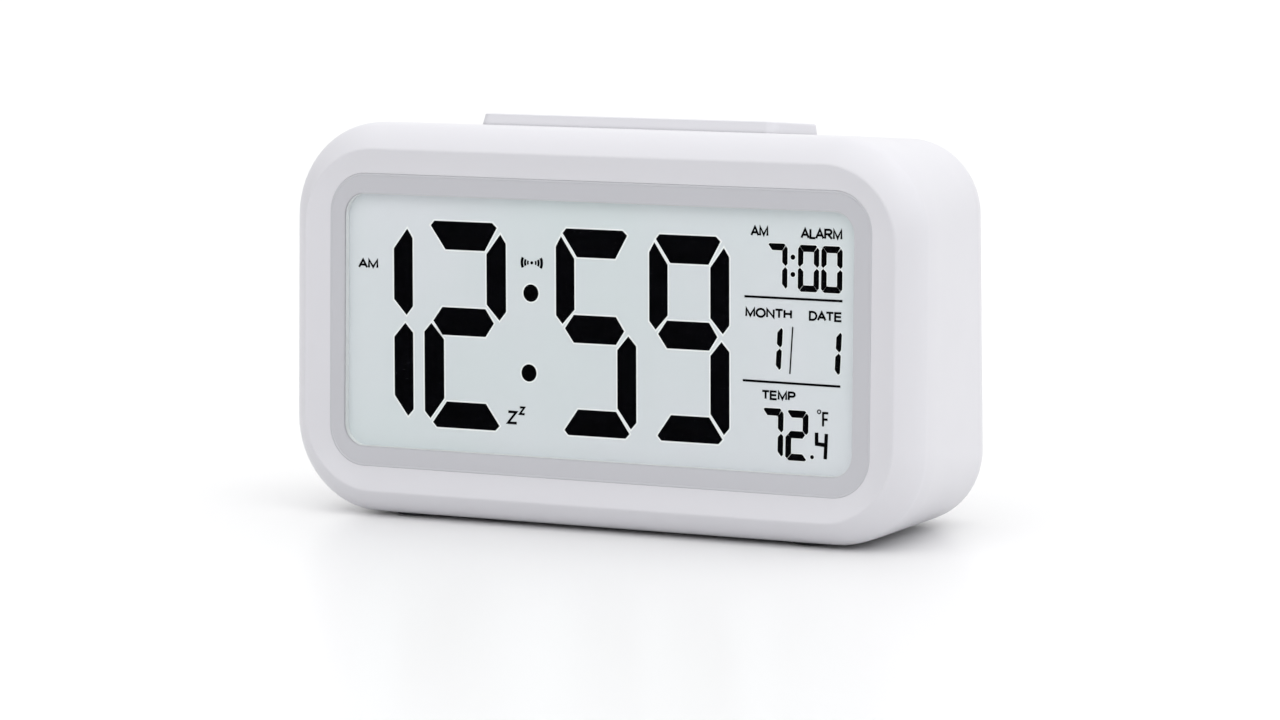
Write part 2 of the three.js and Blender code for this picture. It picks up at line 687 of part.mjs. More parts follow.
function rearCover() {
  const seam = SEAM_Y + SEAM_GAP;
  const outer = loft([seam, ...spread(SEAM_Y, BACK_Y, 4).slice(1)].map((y) => rearRing(y)));
  const straight = (wall, y) => rearRing(SEAM_Y, wall).map((point) => point.clone().setY(y));
  const tongue = WALL + 0.35;
  const plug = loft([straight(tongue, SEAM_Y - 3), straight(tongue, SEAM_Y + 1.5)]);
  const inside = loft([straight(tongue + 1.4, SEAM_Y - 5), straight(tongue + 1.4, COVER_INNER_Y)]);
  const shell = cut(join(outer, plug), inside);

  const { x, z, floor, wall } = TRAY;
  const rim = trayBox(3, 16.5, 20.5);
  const tray = trayBox(wall, floor - wall, 17);
  const collar = speakerCollar();
  const posts = caseScrewPlaces().map(([px, pz]) => rodY(px, pz, 4.4, 15.2, COVER_INNER_Y + 0.5));
  const boardPosts = BUTTON_SCREW_X.map((px) =>
    rodY(px, BUTTON_Z, 2.2, BUTTON_BOARD.back + 0.1, COVER_INNER_Y + 0.5));
  const body = join(shell, rim, tray, collar, ...posts, ...boardPosts);

  const pocket = trayBox(0, floor, 30);
  const seat = rounded(DOOR.width + 2 * DOOR.gap, DOOR.height + 2 * DOOR.gap, DOOR.corner, x, z);
  const tabPockets = doorTabX().map((px) => box(px - 3.4, px + 3.4, 17.2, COVER_INNER_Y, 9.6, 14));
  const lugX = TRAY.width / 2 - CONTACT.inset - CONTACT.thickness;
  const lugSlots = [[x - lugX, CELL.pitch], [x + lugX, -CELL.pitch]].map(([px, pz]) =>
    box(px - 0.8, px + 0.8, floor - wall - 1, floor + 1, z + pz - 2, z + pz + 2));
  const screwHoles = caseScrewPlaces().flatMap(([px, pz]) =>
    [rodY(px, pz, 1.8, 14, 18, 12), rodY(px, pz, 3.2, 17.4, BACK_Y + 1)]);
  const boardPilotsHere = BUTTON_SCREW_X.map((px) => rodY(px, BUTTON_Z, 1.1, 11, 17.5, 10));
  const buttonHoles = BUTTONS.map((button) =>
    alongY(rounded(BUTTON.length + 0.6, BUTTON.height + 0.6, 2.95, button.x, BUTTON_Z), 18, BACK_Y + 1, 2));
  const slideSlot = rounded(7.2, 4.2, 0.8, SLIDER.x + SLIDER.travel / 2, BUTTON_Z);
  return cut(
    body,
    pocket,
    alongY(seat, COVER_INNER_Y, BACK_Y + 1, SMALL),
    ...tabPockets,
    ...lugSlots,
    ...screwHoles,
    ...boardPilotsHere,
    ...buttonHoles,
    alongY(slideSlot, 18, BACK_Y + 1, SMALL),
    ...soundSlots(),
    ...ventSlots(),
  );
}

addPart('rear_cover', rearCover(), whiteShell);

caseScrewPlaces().forEach(([x, z]) => {
  const side = x < 0 ? 'left' : 'right';
  const level = z < BUTTON_Z - 10 ? 'lower' : 'upper';
  addPart(`case_screw_${level}_${side}`, screwY(x, z, 17.45, 19.4, 5, 2.8, 1.4), steel);
});

function buzzer() {
  const back = COVER_INNER_Y - 0.4;
  const front = 12.6;
  return turnedY(SPEAKER.x, SPEAKER.z, [
    [0, front], [7.2, front], [7.8, front + 0.6], [7.8, back - 0.5], [7.3, back],
    [1.3, back], [1.3, back - 1.2], [0, back - 1.2],
  ]);
}

addPart('buzzer', buzzer(), blackPlastic);

// ---------------------------------------------------------------- battery door

function doorTabX() {
  return [TRAY.x - DOOR_TAB.x, TRAY.x + DOOR_TAB.x];
}

function batteryDoor() {
  const { x, z } = TRAY;
  const outside = BACK_Y - 0.05;
  const inside = outside - DOOR.thickness;
  const low = z - DOOR.height / 2;
  const high = z + DOOR.height / 2;
  const shape = rounded(DOOR.width, DOOR.height, DOOR.corner - DOOR.gap, x, z);
  const plate = alongY(shape, inside, outside, SMALL);
  const { halfWidth, front, back } = DOOR_TAB;
  const tabs = doorTabX().flatMap((px) => [
    box(px - halfWidth, px + halfWidth, front, back, low - 1.6, low + 2.4),
    box(px - halfWidth, px + halfWidth, back - 0.2, inside + 0.3, low + 0.4, low + 2.4),
  ]);
  // A clip tongue freed by two slits, with a finger groove and two grip ridges.
  const slits = [-6, 6].map((dx) => box(x + dx - 0.5, x + dx + 0.5, 10, 30, high - 6, high + 1));
  const groove = alongY(rounded(9, 3.4, 1.2, x, high - 3.4), outside - 0.8, outside + 1, SMALL);
  const ridges = [-0.8, 0.8].map((dz) => {
    const middle = high - 3.4 + dz;
    return box(x - 3.4, x + 3.4, outside - 0.9, outside - 0.35, middle - 0.25, middle + 0.25);
  });
  return join(cut(join(plate, ...tabs), ...slits, groove), ...ridges);
}

addPart('battery_door', batteryDoor(), whiteShell);

// ---------------------------------------------------------------- cells and their contacts

// Each cell lies along X. `sign` is +1 where its button end points to the right.
function cell(row, sign) {
  const { radius, length, nub, y } = CELL;
  const profile = [
    [0, -length / 2], [radius - 0.4, -length / 2], [radius, -length / 2 + 0.4],
    [radius, length / 2 - 0.5], [radius - 0.6, length / 2], [1.9, length / 2],
    [1.9, length / 2 + nub], [0, length / 2 + nub],
  ].map(([r, along]) => new THREE.Vector2(r, along));
  const geometry = new THREE.LatheGeometry(profile, ROUND);
  geometry.rotateZ(-sign * (Math.PI / 2));
  geometry.translate(TRAY.x + sign * CELL_SHIFT, y, TRAY.z + row * CELL.pitch);
  return solid(geometry);
}

// A plate at one end of the tray, with a conical spring for each negative end.
function contact(sign, low, high, springRow, lugRow) {
  const { x, z, width } = TRAY;
  const outer = x + sign * (width / 2 - CONTACT.inset);
  const inner = outer - sign * CONTACT.thickness;
  const [left, right] = [Math.min(outer, inner), Math.max(outer, inner)];
  const bottom = z + low * CELL.pitch - CONTACT.reach;
  const top = z + high * CELL.pitch + CONTACT.reach;
  const plate = box(left, right, CONTACT.front, CONTACT.back, bottom, top);
  const pieces = [];
  if (springRow !== null) {
    const place = (a, b, along) =>
      new THREE.Vector3(outer - sign * (0.4 + along), CELL.y + a, z + springRow * CELL.pitch + b);
    pieces.push(wire(new Helix(3.6, 2, 3.6, 2.5, place), 0.4, 22));
  }
  if (lugRow !== null) {
    const row = z + lugRow * CELL.pitch;
    pieces.push(box(left, right, LUG.low, LUG.high, row - LUG.halfWidth, row + LUG.halfWidth));
  }
  return join(plate, ...pieces);
}

[[-1, 1], [0, -1], [1, 1]].forEach(([row, sign], i) => {
  addPart(`battery_${i + 1}`, cell(row, sign), cellGreen);
});
addPart('contact_left_lower', contact(-1, -1, 0, -1, null), nickel);
addPart('contact_left_upper', contact(-1, 1, 1, 1, 1), nickel);
addPart('contact_right_lower', contact(1, -1, -1, null, -1), nickel);
addPart('contact_right_upper', contact(1, 0, 1, 0, null), nickel);

function lead(points) {
  const curve = new THREE.CatmullRomCurve3(points.map((point) => new THREE.Vector3(...point)));
  return wire(curve, 0.6, 10);
}

const redPath = [[9.2, 3.4, 19.2], [9.8, 0, 18.6], [14, -4, 20], [18, -9, 23]];
const blackPath = [[-42, 3.4, 42.4], [-41, 0, 42], [-37, -4, 40], [-33, -8.4, 37]];
addPart('battery_wire_red', lead(redPath), wireRed);
addPart('battery_wire_black', lead(blackPath), wireBlack);

// ---------------------------------------------------------------- rear buttons and their board

function rearButton(x) {
  const inner = COVER_INNER_Y - 0.4;
  const shape = (grow, corner) =>
    rounded(BUTTON.length + 2 * grow, BUTTON.height + 2 * grow, corner, x, BUTTON_Z);
  const cap = alongY(shape(-0.4, 2.28), 19, DEPTH / 2, 2);
  const skirt = alongY(shape(0, 2.68), 19, DEPTH / 2 - 0.4, 2);
  const flange = alongY(shape(BUTTON.flange, 1.5), inner - 1, inner, SMALL);
  return join(cap, skirt, flange, rodY(x, BUTTON_Z, BUTTON.stem, 14.9, inner - 0.5, 10));
}

function pushSwitch(x) {
  const front = BUTTON_BOARD.back + 0.05;
  const body = box(x - 3, x + 3, front, SWITCH_BACK, BUTTON_Z - 3, BUTTON_Z + 3);
  return cut(body, rodY(x, BUTTON_Z, 1.85, 13.6, SWITCH_BACK + 1, 12));
}

function buttonBoard() {
  const { left, right, low, high, front, back } = BUTTON_BOARD;
  const holes = BUTTON_SCREW_X.map((x) => rodY(x, BUTTON_Z, 1.3, front - 1, back + 1, 12));
  return cut(box(left, right, front, back, low, high), ...holes);
}

function slideKnob() {
  const { x } = SLIDER;
  const inner = COVER_INNER_Y - 0.4;
  const grip = alongY(rounded(3, 3.4, 0.6, x, BUTTON_Z), inner - 0.5, BACK_Y + 0.5, SMALL);
  const ridge = box(x - 0.4, x + 0.4, BACK_Y, BACK_Y + 0.75, BUTTON_Z - 1.4, BUTTON_Z + 1.4);
  const plate = box(x - 4.6, x + 4.6, inner - 0.9, inner, BUTTON_Z - 3.2, BUTTON_Z + 3.2);
  const peg = box(x - 0.9, x + 0.9, 14.6, inner - 0.5, BUTTON_Z - 0.7, BUTTON_Z + 0.7);
  return join(grip, ridge, plate, peg);
}

function slideSwitchBody() {
  const middle = SLIDER.x + SLIDER.travel / 2;
  const front = BUTTON_BOARD.back + 0.05;
  const body = box(middle - 5, middle + 5, front, SWITCH_BACK, BUTTON_Z - 2.6, BUTTON_Z + 2.6);
  const slot = box(middle - 2.8, middle + 2.8, 13.8, SWITCH_BACK + 1, BUTTON_Z - 1.1, BUTTON_Z + 1.1);
  return cut(body, slot);
}

BUTTONS.forEach(({ name, x }) => {
  addPart(`${name}_button`, rearButton(x), buttonGrey);
  addPart(`${name}_switch`, pushSwitch(x), blackPlastic);
});
addPart('button_board', buttonBoard(), boardGreen);
addPart('light_switch_knob', slideKnob(), blackPlastic);
addPart('light_switch_body', slideSwitchBody(), steel);

// A screw that holds the button board to the rear cover, with its head to the front.
BUTTON_SCREW_X.forEach((x, i) => {
  const seat = BUTTON_BOARD.front - 0.05;
  const head = cut(
    rodY(x, BUTTON_Z, 1.8, seat - 1.3, seat, 12),
    box(x - 1.2, x + 1.2, seat - 2, seat - 0.8, BUTTON_Z - 0.25, BUTTON_Z + 0.25),
  );
  const screw = join(head, rodY(x, BUTTON_Z, 0.95, seat - 0.2, 16.5, 12));
  addPart(`button_board_screw_${i === 0 ? 'left' : 'right'}`, screw, steel);
});
const boardRibbon = [[-7.6, 50], [-3.5, 50], [2, 53], [6.5, 55.4], [10.3, 55.6]];
addPart('board_ribbon', flatCable(boardRibbon, 0.4, 8, 20), cableWhite);

export default clock;
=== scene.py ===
"""A free-standing LCD alarm clock: rounded white case, grey display frame, press bar and rear controls.

Shapes are worked out in millimetres in the row frame, and scaled to metres when their mesh is made.
X runs to the right as seen from the front, Y to the back and Z up.
"""

import json
from math import asin, copysign, cos, pi, radians, sin, sqrt, tan
from types import SimpleNamespace as Sizes

import bmesh
import bpy
from mathutils import Matrix, Vector


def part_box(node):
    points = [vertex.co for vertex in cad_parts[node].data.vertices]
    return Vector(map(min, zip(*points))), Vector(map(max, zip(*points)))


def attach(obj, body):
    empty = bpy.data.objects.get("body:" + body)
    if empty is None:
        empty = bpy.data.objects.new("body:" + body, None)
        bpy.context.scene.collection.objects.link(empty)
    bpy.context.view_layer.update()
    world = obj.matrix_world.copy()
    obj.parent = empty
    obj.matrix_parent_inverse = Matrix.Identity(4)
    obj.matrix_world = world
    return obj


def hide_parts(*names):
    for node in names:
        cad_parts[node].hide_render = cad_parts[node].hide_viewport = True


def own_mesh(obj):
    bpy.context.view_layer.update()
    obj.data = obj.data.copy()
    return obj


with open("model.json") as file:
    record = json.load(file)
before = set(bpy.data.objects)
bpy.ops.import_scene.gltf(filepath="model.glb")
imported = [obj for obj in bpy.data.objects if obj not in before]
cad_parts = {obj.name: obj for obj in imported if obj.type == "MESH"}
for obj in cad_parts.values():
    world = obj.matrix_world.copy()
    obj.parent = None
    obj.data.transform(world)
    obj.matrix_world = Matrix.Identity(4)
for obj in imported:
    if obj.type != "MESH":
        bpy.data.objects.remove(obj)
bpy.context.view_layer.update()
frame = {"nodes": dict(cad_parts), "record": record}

MM = 0.001


def span(node):
    """Lowest and highest corner of a CAD node, in millimetres."""
    low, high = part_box(node)
    return low / MM, high / MM


# ---- driving dimensions

SHELL_LOW, SHELL_HIGH = span("housing_shell")
DOOR_LOW, DOOR_HIGH = span("battery_door")
BAR_FOOT = span("snooze_bar")[0].z

WIDTH = SHELL_HIGH.x - SHELL_LOW.x
HEIGHT = SHELL_HIGH.z - SHELL_LOW.z
BASE = SHELL_LOW.z  # underside of the case, above the floor
FRONT_Y = SHELL_LOW.y
SEAM_Y = SHELL_HIGH.y
BACK_Y = span("rear_cover")[1].y
LEAN = radians(3)  # the front face leans back
WALL = 2.3

FILLET = Sizes(depth=5.8, rise=2.6, side=4.1, height=4.6, corner=14.9)
CORNER = 17.8  # corner radius of the case's widest outline
OPENING = Sizes(width=116.7, height=56.6, corner=7.8, depth=1.0)
WINDOW = Sizes(width=109.6, height=48.8, corner=4.3, depth=1.3, shift=-0.35)
LIP_BACK = 2.6  # depth of the lip's back, behind the front face
REAR = Sizes(side=3.2, top=2.5, corner=13.8, round=9.3, pull=9.0)
CAP_Y = BACK_Y - REAR.round
COVER_WALL = 2.0
COVER_INNER_Y = BACK_Y - COVER_WALL
COVER_FRONT = 18  # clear of the inside of the rear cover's flat back
SEAM_GAP = 0.25
CASE_BOSS = Sizes(radius=3.5, bore=1.5, back=15.0, bore_front=4.0, rib=1.0)
LCD_BOSS = Sizes(x=61.9, up=15.5, radius=2.3, bore=1.25, back=9.85, bore_front=4.5)

FACE_Z = BASE + HEIGHT / 2
FACE_Y = FRONT_Y + (HEIGHT / 2 - FILLET.height) * tan(LEAN)

BAR = Sizes(length=64.4, depth=19.4, y=3.1, top=76.3, corner=2.5, draft=0.3, edge=0.4, lean=0.8,
            floor=69.9, ceiling=73.6, shoulder=2.6, flange=0.9, gap=0.2, mouth=0.25, wall=1.6, lip=1.2)
BAR_POST = Sizes(x=27.0, radius=1.2, stem=1.6, stem_low=63.4)
BAR_BOSS = Sizes(x=42.0, radius=3.0, bore=1.1, low=60.9)
TRAY = Sizes(x=-16.5, z=30.8, width=52.4, height=35.6, floor=7.6, wall=1.5, border=3.0, border_front=16.5)
DOOR = Sizes(width=54.4, height=37.6, thickness=1.8, corner=1.8, gap=0.3)
DOOR_TAB = Sizes(x=15.0, width=6.0, front=18.2)
CELL = Sizes(radius=5.25, nub=0.9, pitch=11.6, y=13.2)
CONTACT = Sizes(thickness=0.5, width=9.6, corner=1.2, inset=0.55)
BUTTON_Z = 57.4
BUTTON = Sizes(length=11.0, height=5.4, flange=0.9, stem=1.5)
BUTTON_X = {"mode": -33.0, "set": -17.0, "up": -1.0, "down": 15.0}
BUTTON_FACE_Y = 22.5
FLANGE_GAP = 0.4  # between the rear cover and the flange of a button or of the slide knob
SLIDER = Sizes(x=32.5, travel=3.0)
SPEAKER = Sizes(x=31.0, z=29.0, cup=9.4, bore=8.1, front=14.2)
CASE_SCREW = Sizes(x=50.0, low=15.1, high=58.6, post=4.4, front=15.2, bore=1.8, well=6.4, seat=17.4)

# Depths behind the front face
LENS = Sizes(front=1.4, flange=1.95, back=2.6)
LCD_FRONT = 2.7
INK = 0.05  # thickness of the display's segments

STEPS = 16  # in a quarter turn of the case's own corners
FINE = 6  # in a quarter turn of a small corner or rim
OVERLAP = 1.0  # how far a cutter reaches past what it cuts


# ---- bodies: (points, faces) in millimetres

def upright(x, along, up):
    """For outlines drawn in X and Z, with depth along Y."""
    return (x, along, up)


def level(x, along, up):
    """For outlines drawn in X and Y, with depth along Z."""
    return (x, up, along)


def on_face(x, along, up):
    """For outlines drawn on the leaning front face, from its centre, with depth going in."""
    y = FACE_Y + along * cos(LEAN) + up * sin(LEAN)
    z = FACE_Z - along * sin(LEAN) + up * cos(LEAN)
    return (x, y, z)


def lying(y, z):
    """For bodies turned about an axis along X, through y and z."""
    return lambda across, along, up: (along, y + across, z + up)


def rect(width, height, radius, x=0.0, up=0.0):
    """A rounded rectangle as (left, low, right, high, radius)."""
    return (x - width / 2, up - height / 2, x + width / 2, up + height / 2, radius)


def inset(shape, by):
    left, low, right, high, radius = shape
    return (left + by, low + by, right - by, high - by, max(radius - by, 0.02))


def outline(shape, steps=FINE):
    """Points of a rounded rectangle, anticlockwise from its lower right corner."""
    left, low, right, high, radius = shape
    centres = [(right - radius, low + radius), (right - radius, high - radius),
               (left + radius, high - radius), (left + radius, low + radius)]
    points = []
    for quarter, (x, up) in enumerate(centres):
        for i in range(steps + 1):
            turn = pi / 2 * (quarter - 1 + i / steps)
            points.append((x + radius * cos(turn), up + radius * sin(turn)))
    return points


def ring(shape, along, place=upright, steps=FINE):
    return [place(x, along, up) for x, up in outline(shape, steps)]


def skin(rings, loop=False):
    """Joins matching rings by faces: into a tube with flat ends, or into a closed loop."""
    count = len(rings[0])
    points = [point for one in rings for point in one]
    faces = []
    for r in range(len(rings) if loop else len(rings) - 1):
        near, far = r * count, (r + 1) % len(rings) * count
        for i in range(count):
            j = (i + 1) % count
            faces.append((near + i, near + j, far + j, far + i))
    if not loop:
        last = (len(rings) - 1) * count
        faces.append(tuple(range(count)))
        faces.append(tuple(range(last, last + count)))
    return points, faces


def merge(*bodies):
    points, faces = [], []
    for more_points, more_faces in bodies:
        start = len(points)
        points += more_points
        faces += [tuple(start + i for i in face) for face in more_faces]
    return points, faces


def rim(radius, steps=FINE):
    """(inset, height) pairs that round a rim off, from its flat face to its side."""
    if radius == 0:
        return [(0.0, 0.0)]
    turns = [pi / 2 * i / steps for i in range(steps + 1)]
    return [(radius * (1 - sin(turn)), radius * (1 - cos(turn))) for turn in turns]


def slab(shape, start, end, place=upright, rims=(0.0, 0.0), steps=FINE, crown=0.0):
    """A rounded rectangle with depth, whose rims are rounded and whose end may be crowned."""
    way = 1 if end > start else -1
    rings = [ring(inset(shape, by), start + way * high, place, steps) for by, high in rim(rims[0], steps)]
    rings += [ring(inset(shape, by), end - way * high, place, steps)
              for by, high in reversed(rim(rims[1], steps))]
    if crown:
        left, low, right, high, _ = shape
        deepest = min(right - left, high - low) / 2 - 0.1
        for i in range(1, STEPS // 2):
            share = i / (STEPS // 2)
            by = rims[1] + (deepest - rims[1]) * share
            rings.append(ring(inset(shape, by), end + way * crown * (1 - (1 - share) ** 2), place, steps))
    return skin(rings)


def turned(profile, x, up, place=upright, sides=48):
    """A turned body from (radius, along) pairs, about an axis through x and up."""
    turns = [2 * pi * i / sides for i in range(sides)]
    return skin([[place(x + radius * cos(t), along, up + radius * sin(t)) for t in turns]
                 for radius, along in profile])


def rod(x, up, radius, start, end, place=upright, rims=(0.0, 0.0), sides=48):
    way = 1 if end > start else -1
    profile = [(radius - by, start + way * high) for by, high in rim(rims[0])]
    profile += [(radius - by, end - way * high) for by, high in reversed(rim(rims[1]))]
    return turned(profile, x, up, place, sides)


def block(left, right, front, back, low, high):
    """A plain box between two corners."""
    points = [(x, y, z) for x in (left, right) for y in (front, back) for z in (low, high)]
    faces = [(0, 1, 3, 2), (4, 6, 7, 5), (0, 4, 5, 1), (2, 3, 7, 6), (0, 2, 6, 4), (1, 5, 7, 3)]
    return points, faces


def tube(path, radius, sides=12):
    """A round wire along a path of points, kept free of twist."""
    path = [Vector(point) for point in path]
    turns = [2 * pi * k / sides for k in range(sides)]
    across = None
    rings = []
    for i, point in enumerate(path):
        ahead = (path[min(i + 1, len(path) - 1)] - path[max(i - 1, 0)]).normalized()
        if across is None:
            across = ahead.orthogonal().normalized()
        across = (across - ahead * across.dot(ahead)).normalized()
        beside = ahead.cross(across)
        rings.append([tuple(point + radius * (across * cos(t) + beside * sin(t)))
                      for t in turns])
    return skin(rings)


def coil(wire, turns, count, at):
    """A coiled wire, from a function that gives its point at a share of its length and an angle."""
    shares = [i / count for i in range(count + 1)]
    return tube([at(share, 2 * pi * turns * share) for share in shares], wire)


def plate(points, start, end, place=on_face):
    """A flat outline, given as (x, up) points, with depth."""
    return skin([[place(x, along, up) for x, up in points] for along in (start, end)])


# ---- meshes and pieces

def in_scene(name, data):
    made = bpy.data.objects.new(name, data)
    bpy.context.scene.collection.objects.link(made)
    return made


def raw(name, body):
    """A mesh object in metres, with its faces pointing out."""
    points, faces = body
    mesh = bpy.data.meshes.new(name)
    mesh.from_pydata([Vector(point) * MM for point in points], [], faces)
    shape = bmesh.new()
    shape.from_mesh(mesh)
    bmesh.ops.recalc_face_normals(shape, faces=shape.faces)
    shape.to_mesh(mesh)
    shape.free()
    return in_scene(name, mesh)


def carve(made, body, operation="DIFFERENCE"):
    """Cuts a body from a mesh object, or joins it on."""
    tool = raw("carving_tool", body)
    step = made.modifiers.new("carve", "BOOLEAN")
    step.operation = operation
    step.object = tool
    step.solver = "EXACT"
    graph = bpy.context.evaluated_depsgraph_get()
    carved = bpy.data.meshes.new_from_object(made.evaluated_get(graph))
    made.modifiers.clear()
    made.data = carved
    bpy.data.objects.remove(tool)
    return made


SHARP_ANGLE = 32  # degrees between faces that meet in a crisp edge


def dress(made, look, *nodes, body="case"):
    """Gives a mesh object its material and shading, and puts it on its CAD body."""
    made.data.materials.clear()
    made.data.materials.append(LOOKS[look].material)
    made.data.shade_smooth()
    made.data.set_sharp_from_angle(angle=radians(SHARP_ANGLE))
    weigh = made.modifiers.new("weigh_normals", "WEIGHTED_NORMAL")
    weigh.keep_sharp = True
    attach(made, body)
    if nodes:
        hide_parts(*nodes)
    return made


def piece(name, shape, look, *nodes, body="case"):
    return dress(raw(name, shape), look, *nodes, body=body)


# ---- materials

def add_node(tree, kind, output, inputs, **settings):
    """A new shader node with its settings made and its inputs set or linked. Gives one output."""
    made = tree.nodes.new("ShaderNode" + kind)
    for name, value in settings.items():
        setattr(made, name, value)
    for socket, value in inputs.items():
        if isinstance(value, bpy.types.NodeSocket):
            tree.links.new(value, made.inputs[socket])
        else:
            made.inputs[socket].default_value = value
    return made.outputs[output]


class Look:
    """A node material around one Principled shader, with short calls for its usual patterns."""

    def __init__(self, name, colour, roughness, **sockets):
        self.material = bpy.data.materials.new(name)
        self.material.use_nodes = True
        self.tree = self.material.node_tree
        self.shader = self.tree.nodes["Principled BSDF"]
        self.shader.inputs["Base Color"].default_value = (*colour, 1)
        self.shader.inputs["Roughness"].default_value = roughness
        for name, value in sockets.items():
            socket = name.replace("_", " ").title().replace("Ior", "IOR")
            self.shader.inputs[socket].default_value = value
        self.place = self.add("TexCoord", "Object", {})

    def add(self, kind, output, inputs, **settings):
        return add_node(self.tree, kind, output, inputs, **settings)

    def feed(self, socket, value):
        self.tree.links.new(value, self.shader.inputs[socket])

    def noise(self, scale, detail=3.0, stretch=(1, 1, 1)):
        """Noise with `scale` features per metre, stretched along an axis where its factor is small."""
        place = self.add("Mapping", "Vector", {"Scale": stretch, "Vector": self.place})
        return self.add("TexNoise", "Fac", {"Scale": scale, "Detail": detail, "Vector": place})

    def ramp(self, value, low, high, start, end):
        """Maps a value from low..high to start..end, held at both ends."""
        ends = {"From Min": low, "From Max": high, "To Min": start, "To Max": end}
        return self.add("MapRange", "Result", {"Value": value, **ends})

    def colours(self, value, first, second):
        """Colours the surface from one colour to another as value goes from 0 to 1."""
        ends = {"A": (*first, 1), "B": (*second, 1)}
        self.feed("Base Color", self.add("Mix", "Result", {"Factor": value, **ends}, data_type="RGBA"))

    def mottle(self, value, first, second):
        """The same, with the middle of a noise spread over the whole way."""
        self.colours(self.ramp(value, 0.3, 0.7, 0, 1), first, second)

    def roughness(self, value, start, end):
        self.feed("Roughness", self.ramp(value, 0.3, 0.7, start, end))

    def bump(self, value, height):
        """A bump of that height, in millimetres."""
        self.feed("Normal", self.add("Bump", "Normal", {"Distance": height * MM, "Height": value}))


def tinted(colour, factor):
    return tuple(min(1.0, part * factor) for part in colour)


def surface(name, first, second, drift, gloss, grain, **sockets):
    """A surface with drifting colour, uneven gloss and a fine grain: noise scales, details and ranges."""
    look = Look(name, second, gloss[2], **sockets)
    look.mottle(look.noise(*drift), first, second)
    look.roughness(look.noise(*gloss[:2]), *gloss[2:])
    look.bump(look.noise(*grain[:2]), grain[2])
    return look


def moulded(name, colour, roughness, grain=0.004, drift=0.02, **sockets):
    """Moulded plastic with a spark-eroded grain."""
    return surface(name, tinted(colour, 1 - drift), tinted(colour, 1 + drift), (28, 2),
                   (90, 4, roughness * 0.88, roughness * 1.12), (1400, 2, grain), **sockets)


def drawn_metal(name, colour, roughness, stretch=(1, 1, 0.08)):
    """Rolled or drawn metal with fine lines along one axis."""
    look = Look(name, colour, roughness, metallic=1.0)
    lines = look.noise(2600, 3, stretch)
    look.colours(look.ramp(lines, 0.25, 0.75, 0, 1), tinted(colour, 0.82), tinted(colour, 1.08))
    look.roughness(look.noise(700, 3, stretch), roughness * 0.75, roughness * 1.3)
    look.bump(lines, 0.006)
    return look


def circuit_board():
    """Green solder mask over copper tracks."""
    green = (0.018, 0.115, 0.045)
    look = Look("circuit_board", green, 0.32, coat_weight=0.3)
    upright_place = look.add("Mapping", "Vector", {"Rotation": (pi / 2, 0, 0), "Vector": look.place})
    tracks = look.add("TexBrick", "Fac", {"Scale": 260, "Mortar Size": 0.045, "Vector": upright_place})
    look.colours(tracks, green, (0.045, 0.22, 0.085))
    look.roughness(look.noise(300), 0.28, 0.4)
    look.bump(tracks, 0.02)
    return look


def lens_clear():
    """Clear acrylic with a low-reflection face."""
    look = Look("lens_clear", (0.95, 0.97, 1.0), 0.06)
    look.roughness(look.noise(60, 2), 0.04, 0.08)
    clear = look.add("BsdfTransparent", "BSDF", {"Color": (0.985, 0.992, 0.99, 1)})
    gloss = look.add("Fresnel", "Fac", {"IOR": 1.035})
    blend = look.add("MixShader", "Shader", {0: gloss, 1: clear, 2: look.shader.outputs["BSDF"]})
    look.tree.links.new(blend, look.tree.nodes["Material Output"].inputs["Surface"])
    return look


def lcd_glass():
    """The reflective LCD: matte polariser, faintly mottled, cooler and warmer by turns."""
    return surface("lcd_glass", (0.722, 0.768, 0.786), (0.768, 0.778, 0.818), (22, 3),
                   (500, 3, 0.5, 0.62), (2200, 2, 0.002), specular_ior_level=0.2)


def lcd_ink():
    """A dark LCD segment."""
    look = Look("lcd_ink", (0.002, 0.002, 0.003), 0.7, specular_ior_level=0.0)
    look.colours(look.noise(300, 2), (0.001, 0.001, 0.0015), (0.003, 0.003, 0.004))
    look.roughness(look.noise(400, 2), 0.65, 0.8)
    return look


def lcd_edge(name, level):
    """The pale edge that a segment's electrode leaves round it, and the spacer at the LCD's border, whose
    pale tone is painted light over the shade of the window's recess.
    """
    darker, paler = (0.96 * level, 0.98 * level, 0.98 * level), (level, 1.01 * level, 1.01 * level)
    look = Look(name, paler, 0.6, specular_ior_level=0.1)
    look.colours(look.noise(300, 2), darker, paler)
    return look


def clear_block():
    """Clear acrylic with a dotted back that spreads the backlight."""
    look = Look("clear_block", (0.93, 0.96, 1.0), 0.12, transmission_weight=0.85, ior=1.49)
    dots = look.add("TexVoronoi", "Distance", {"Scale": 700, "Vector": look.place})
    look.colours(look.ramp(dots, 0.2, 0.3, 1, 0), (0.9, 0.94, 1.0), (1.0, 1.0, 1.0))
    look.bump(dots, 0.01)
    return look


def rubber(name, colour):
    """Soft rubber with a dusty, finely pitted skin."""
    return surface(name, tinted(colour, 0.85), tinted(colour, 1.2), (120, 4), (900, 4, 0.78, 0.92),
                   (2400, 3, 0.012), specular_ior_level=0.3)


def foil_sleeve():
    """A cell's printed sleeve: plain green, lighter bands round it, satin lacquer."""
    green = (0.035, 0.16, 0.06)
    look = Look("cell_sleeve", green, 0.3, metallic=0.25, coat_weight=0.5)
    along = look.add("SeparateXYZ", "X", {"Vector": look.place})
    wave = look.add("Math", "Value", {0: along, 1: 9 * MM}, operation="PINGPONG")
    look.colours(look.ramp(wave, 7.9 * MM, 8.1 * MM, 0, 1), green, (0.42, 0.50, 0.40))
    look.roughness(look.noise(400), 0.25, 0.36)
    look.bump(look.noise(900, 2), 0.0015)
    return look


def light_diode():
    look = Look("light_diode", (0.86, 0.82, 0.62), 0.35, coat_weight=0.4)
    look.mottle(look.noise(900, 2), (0.88, 0.84, 0.66), (0.92, 0.90, 0.78))
    look.bump(look.noise(1500, 2), 0.004)
    return look


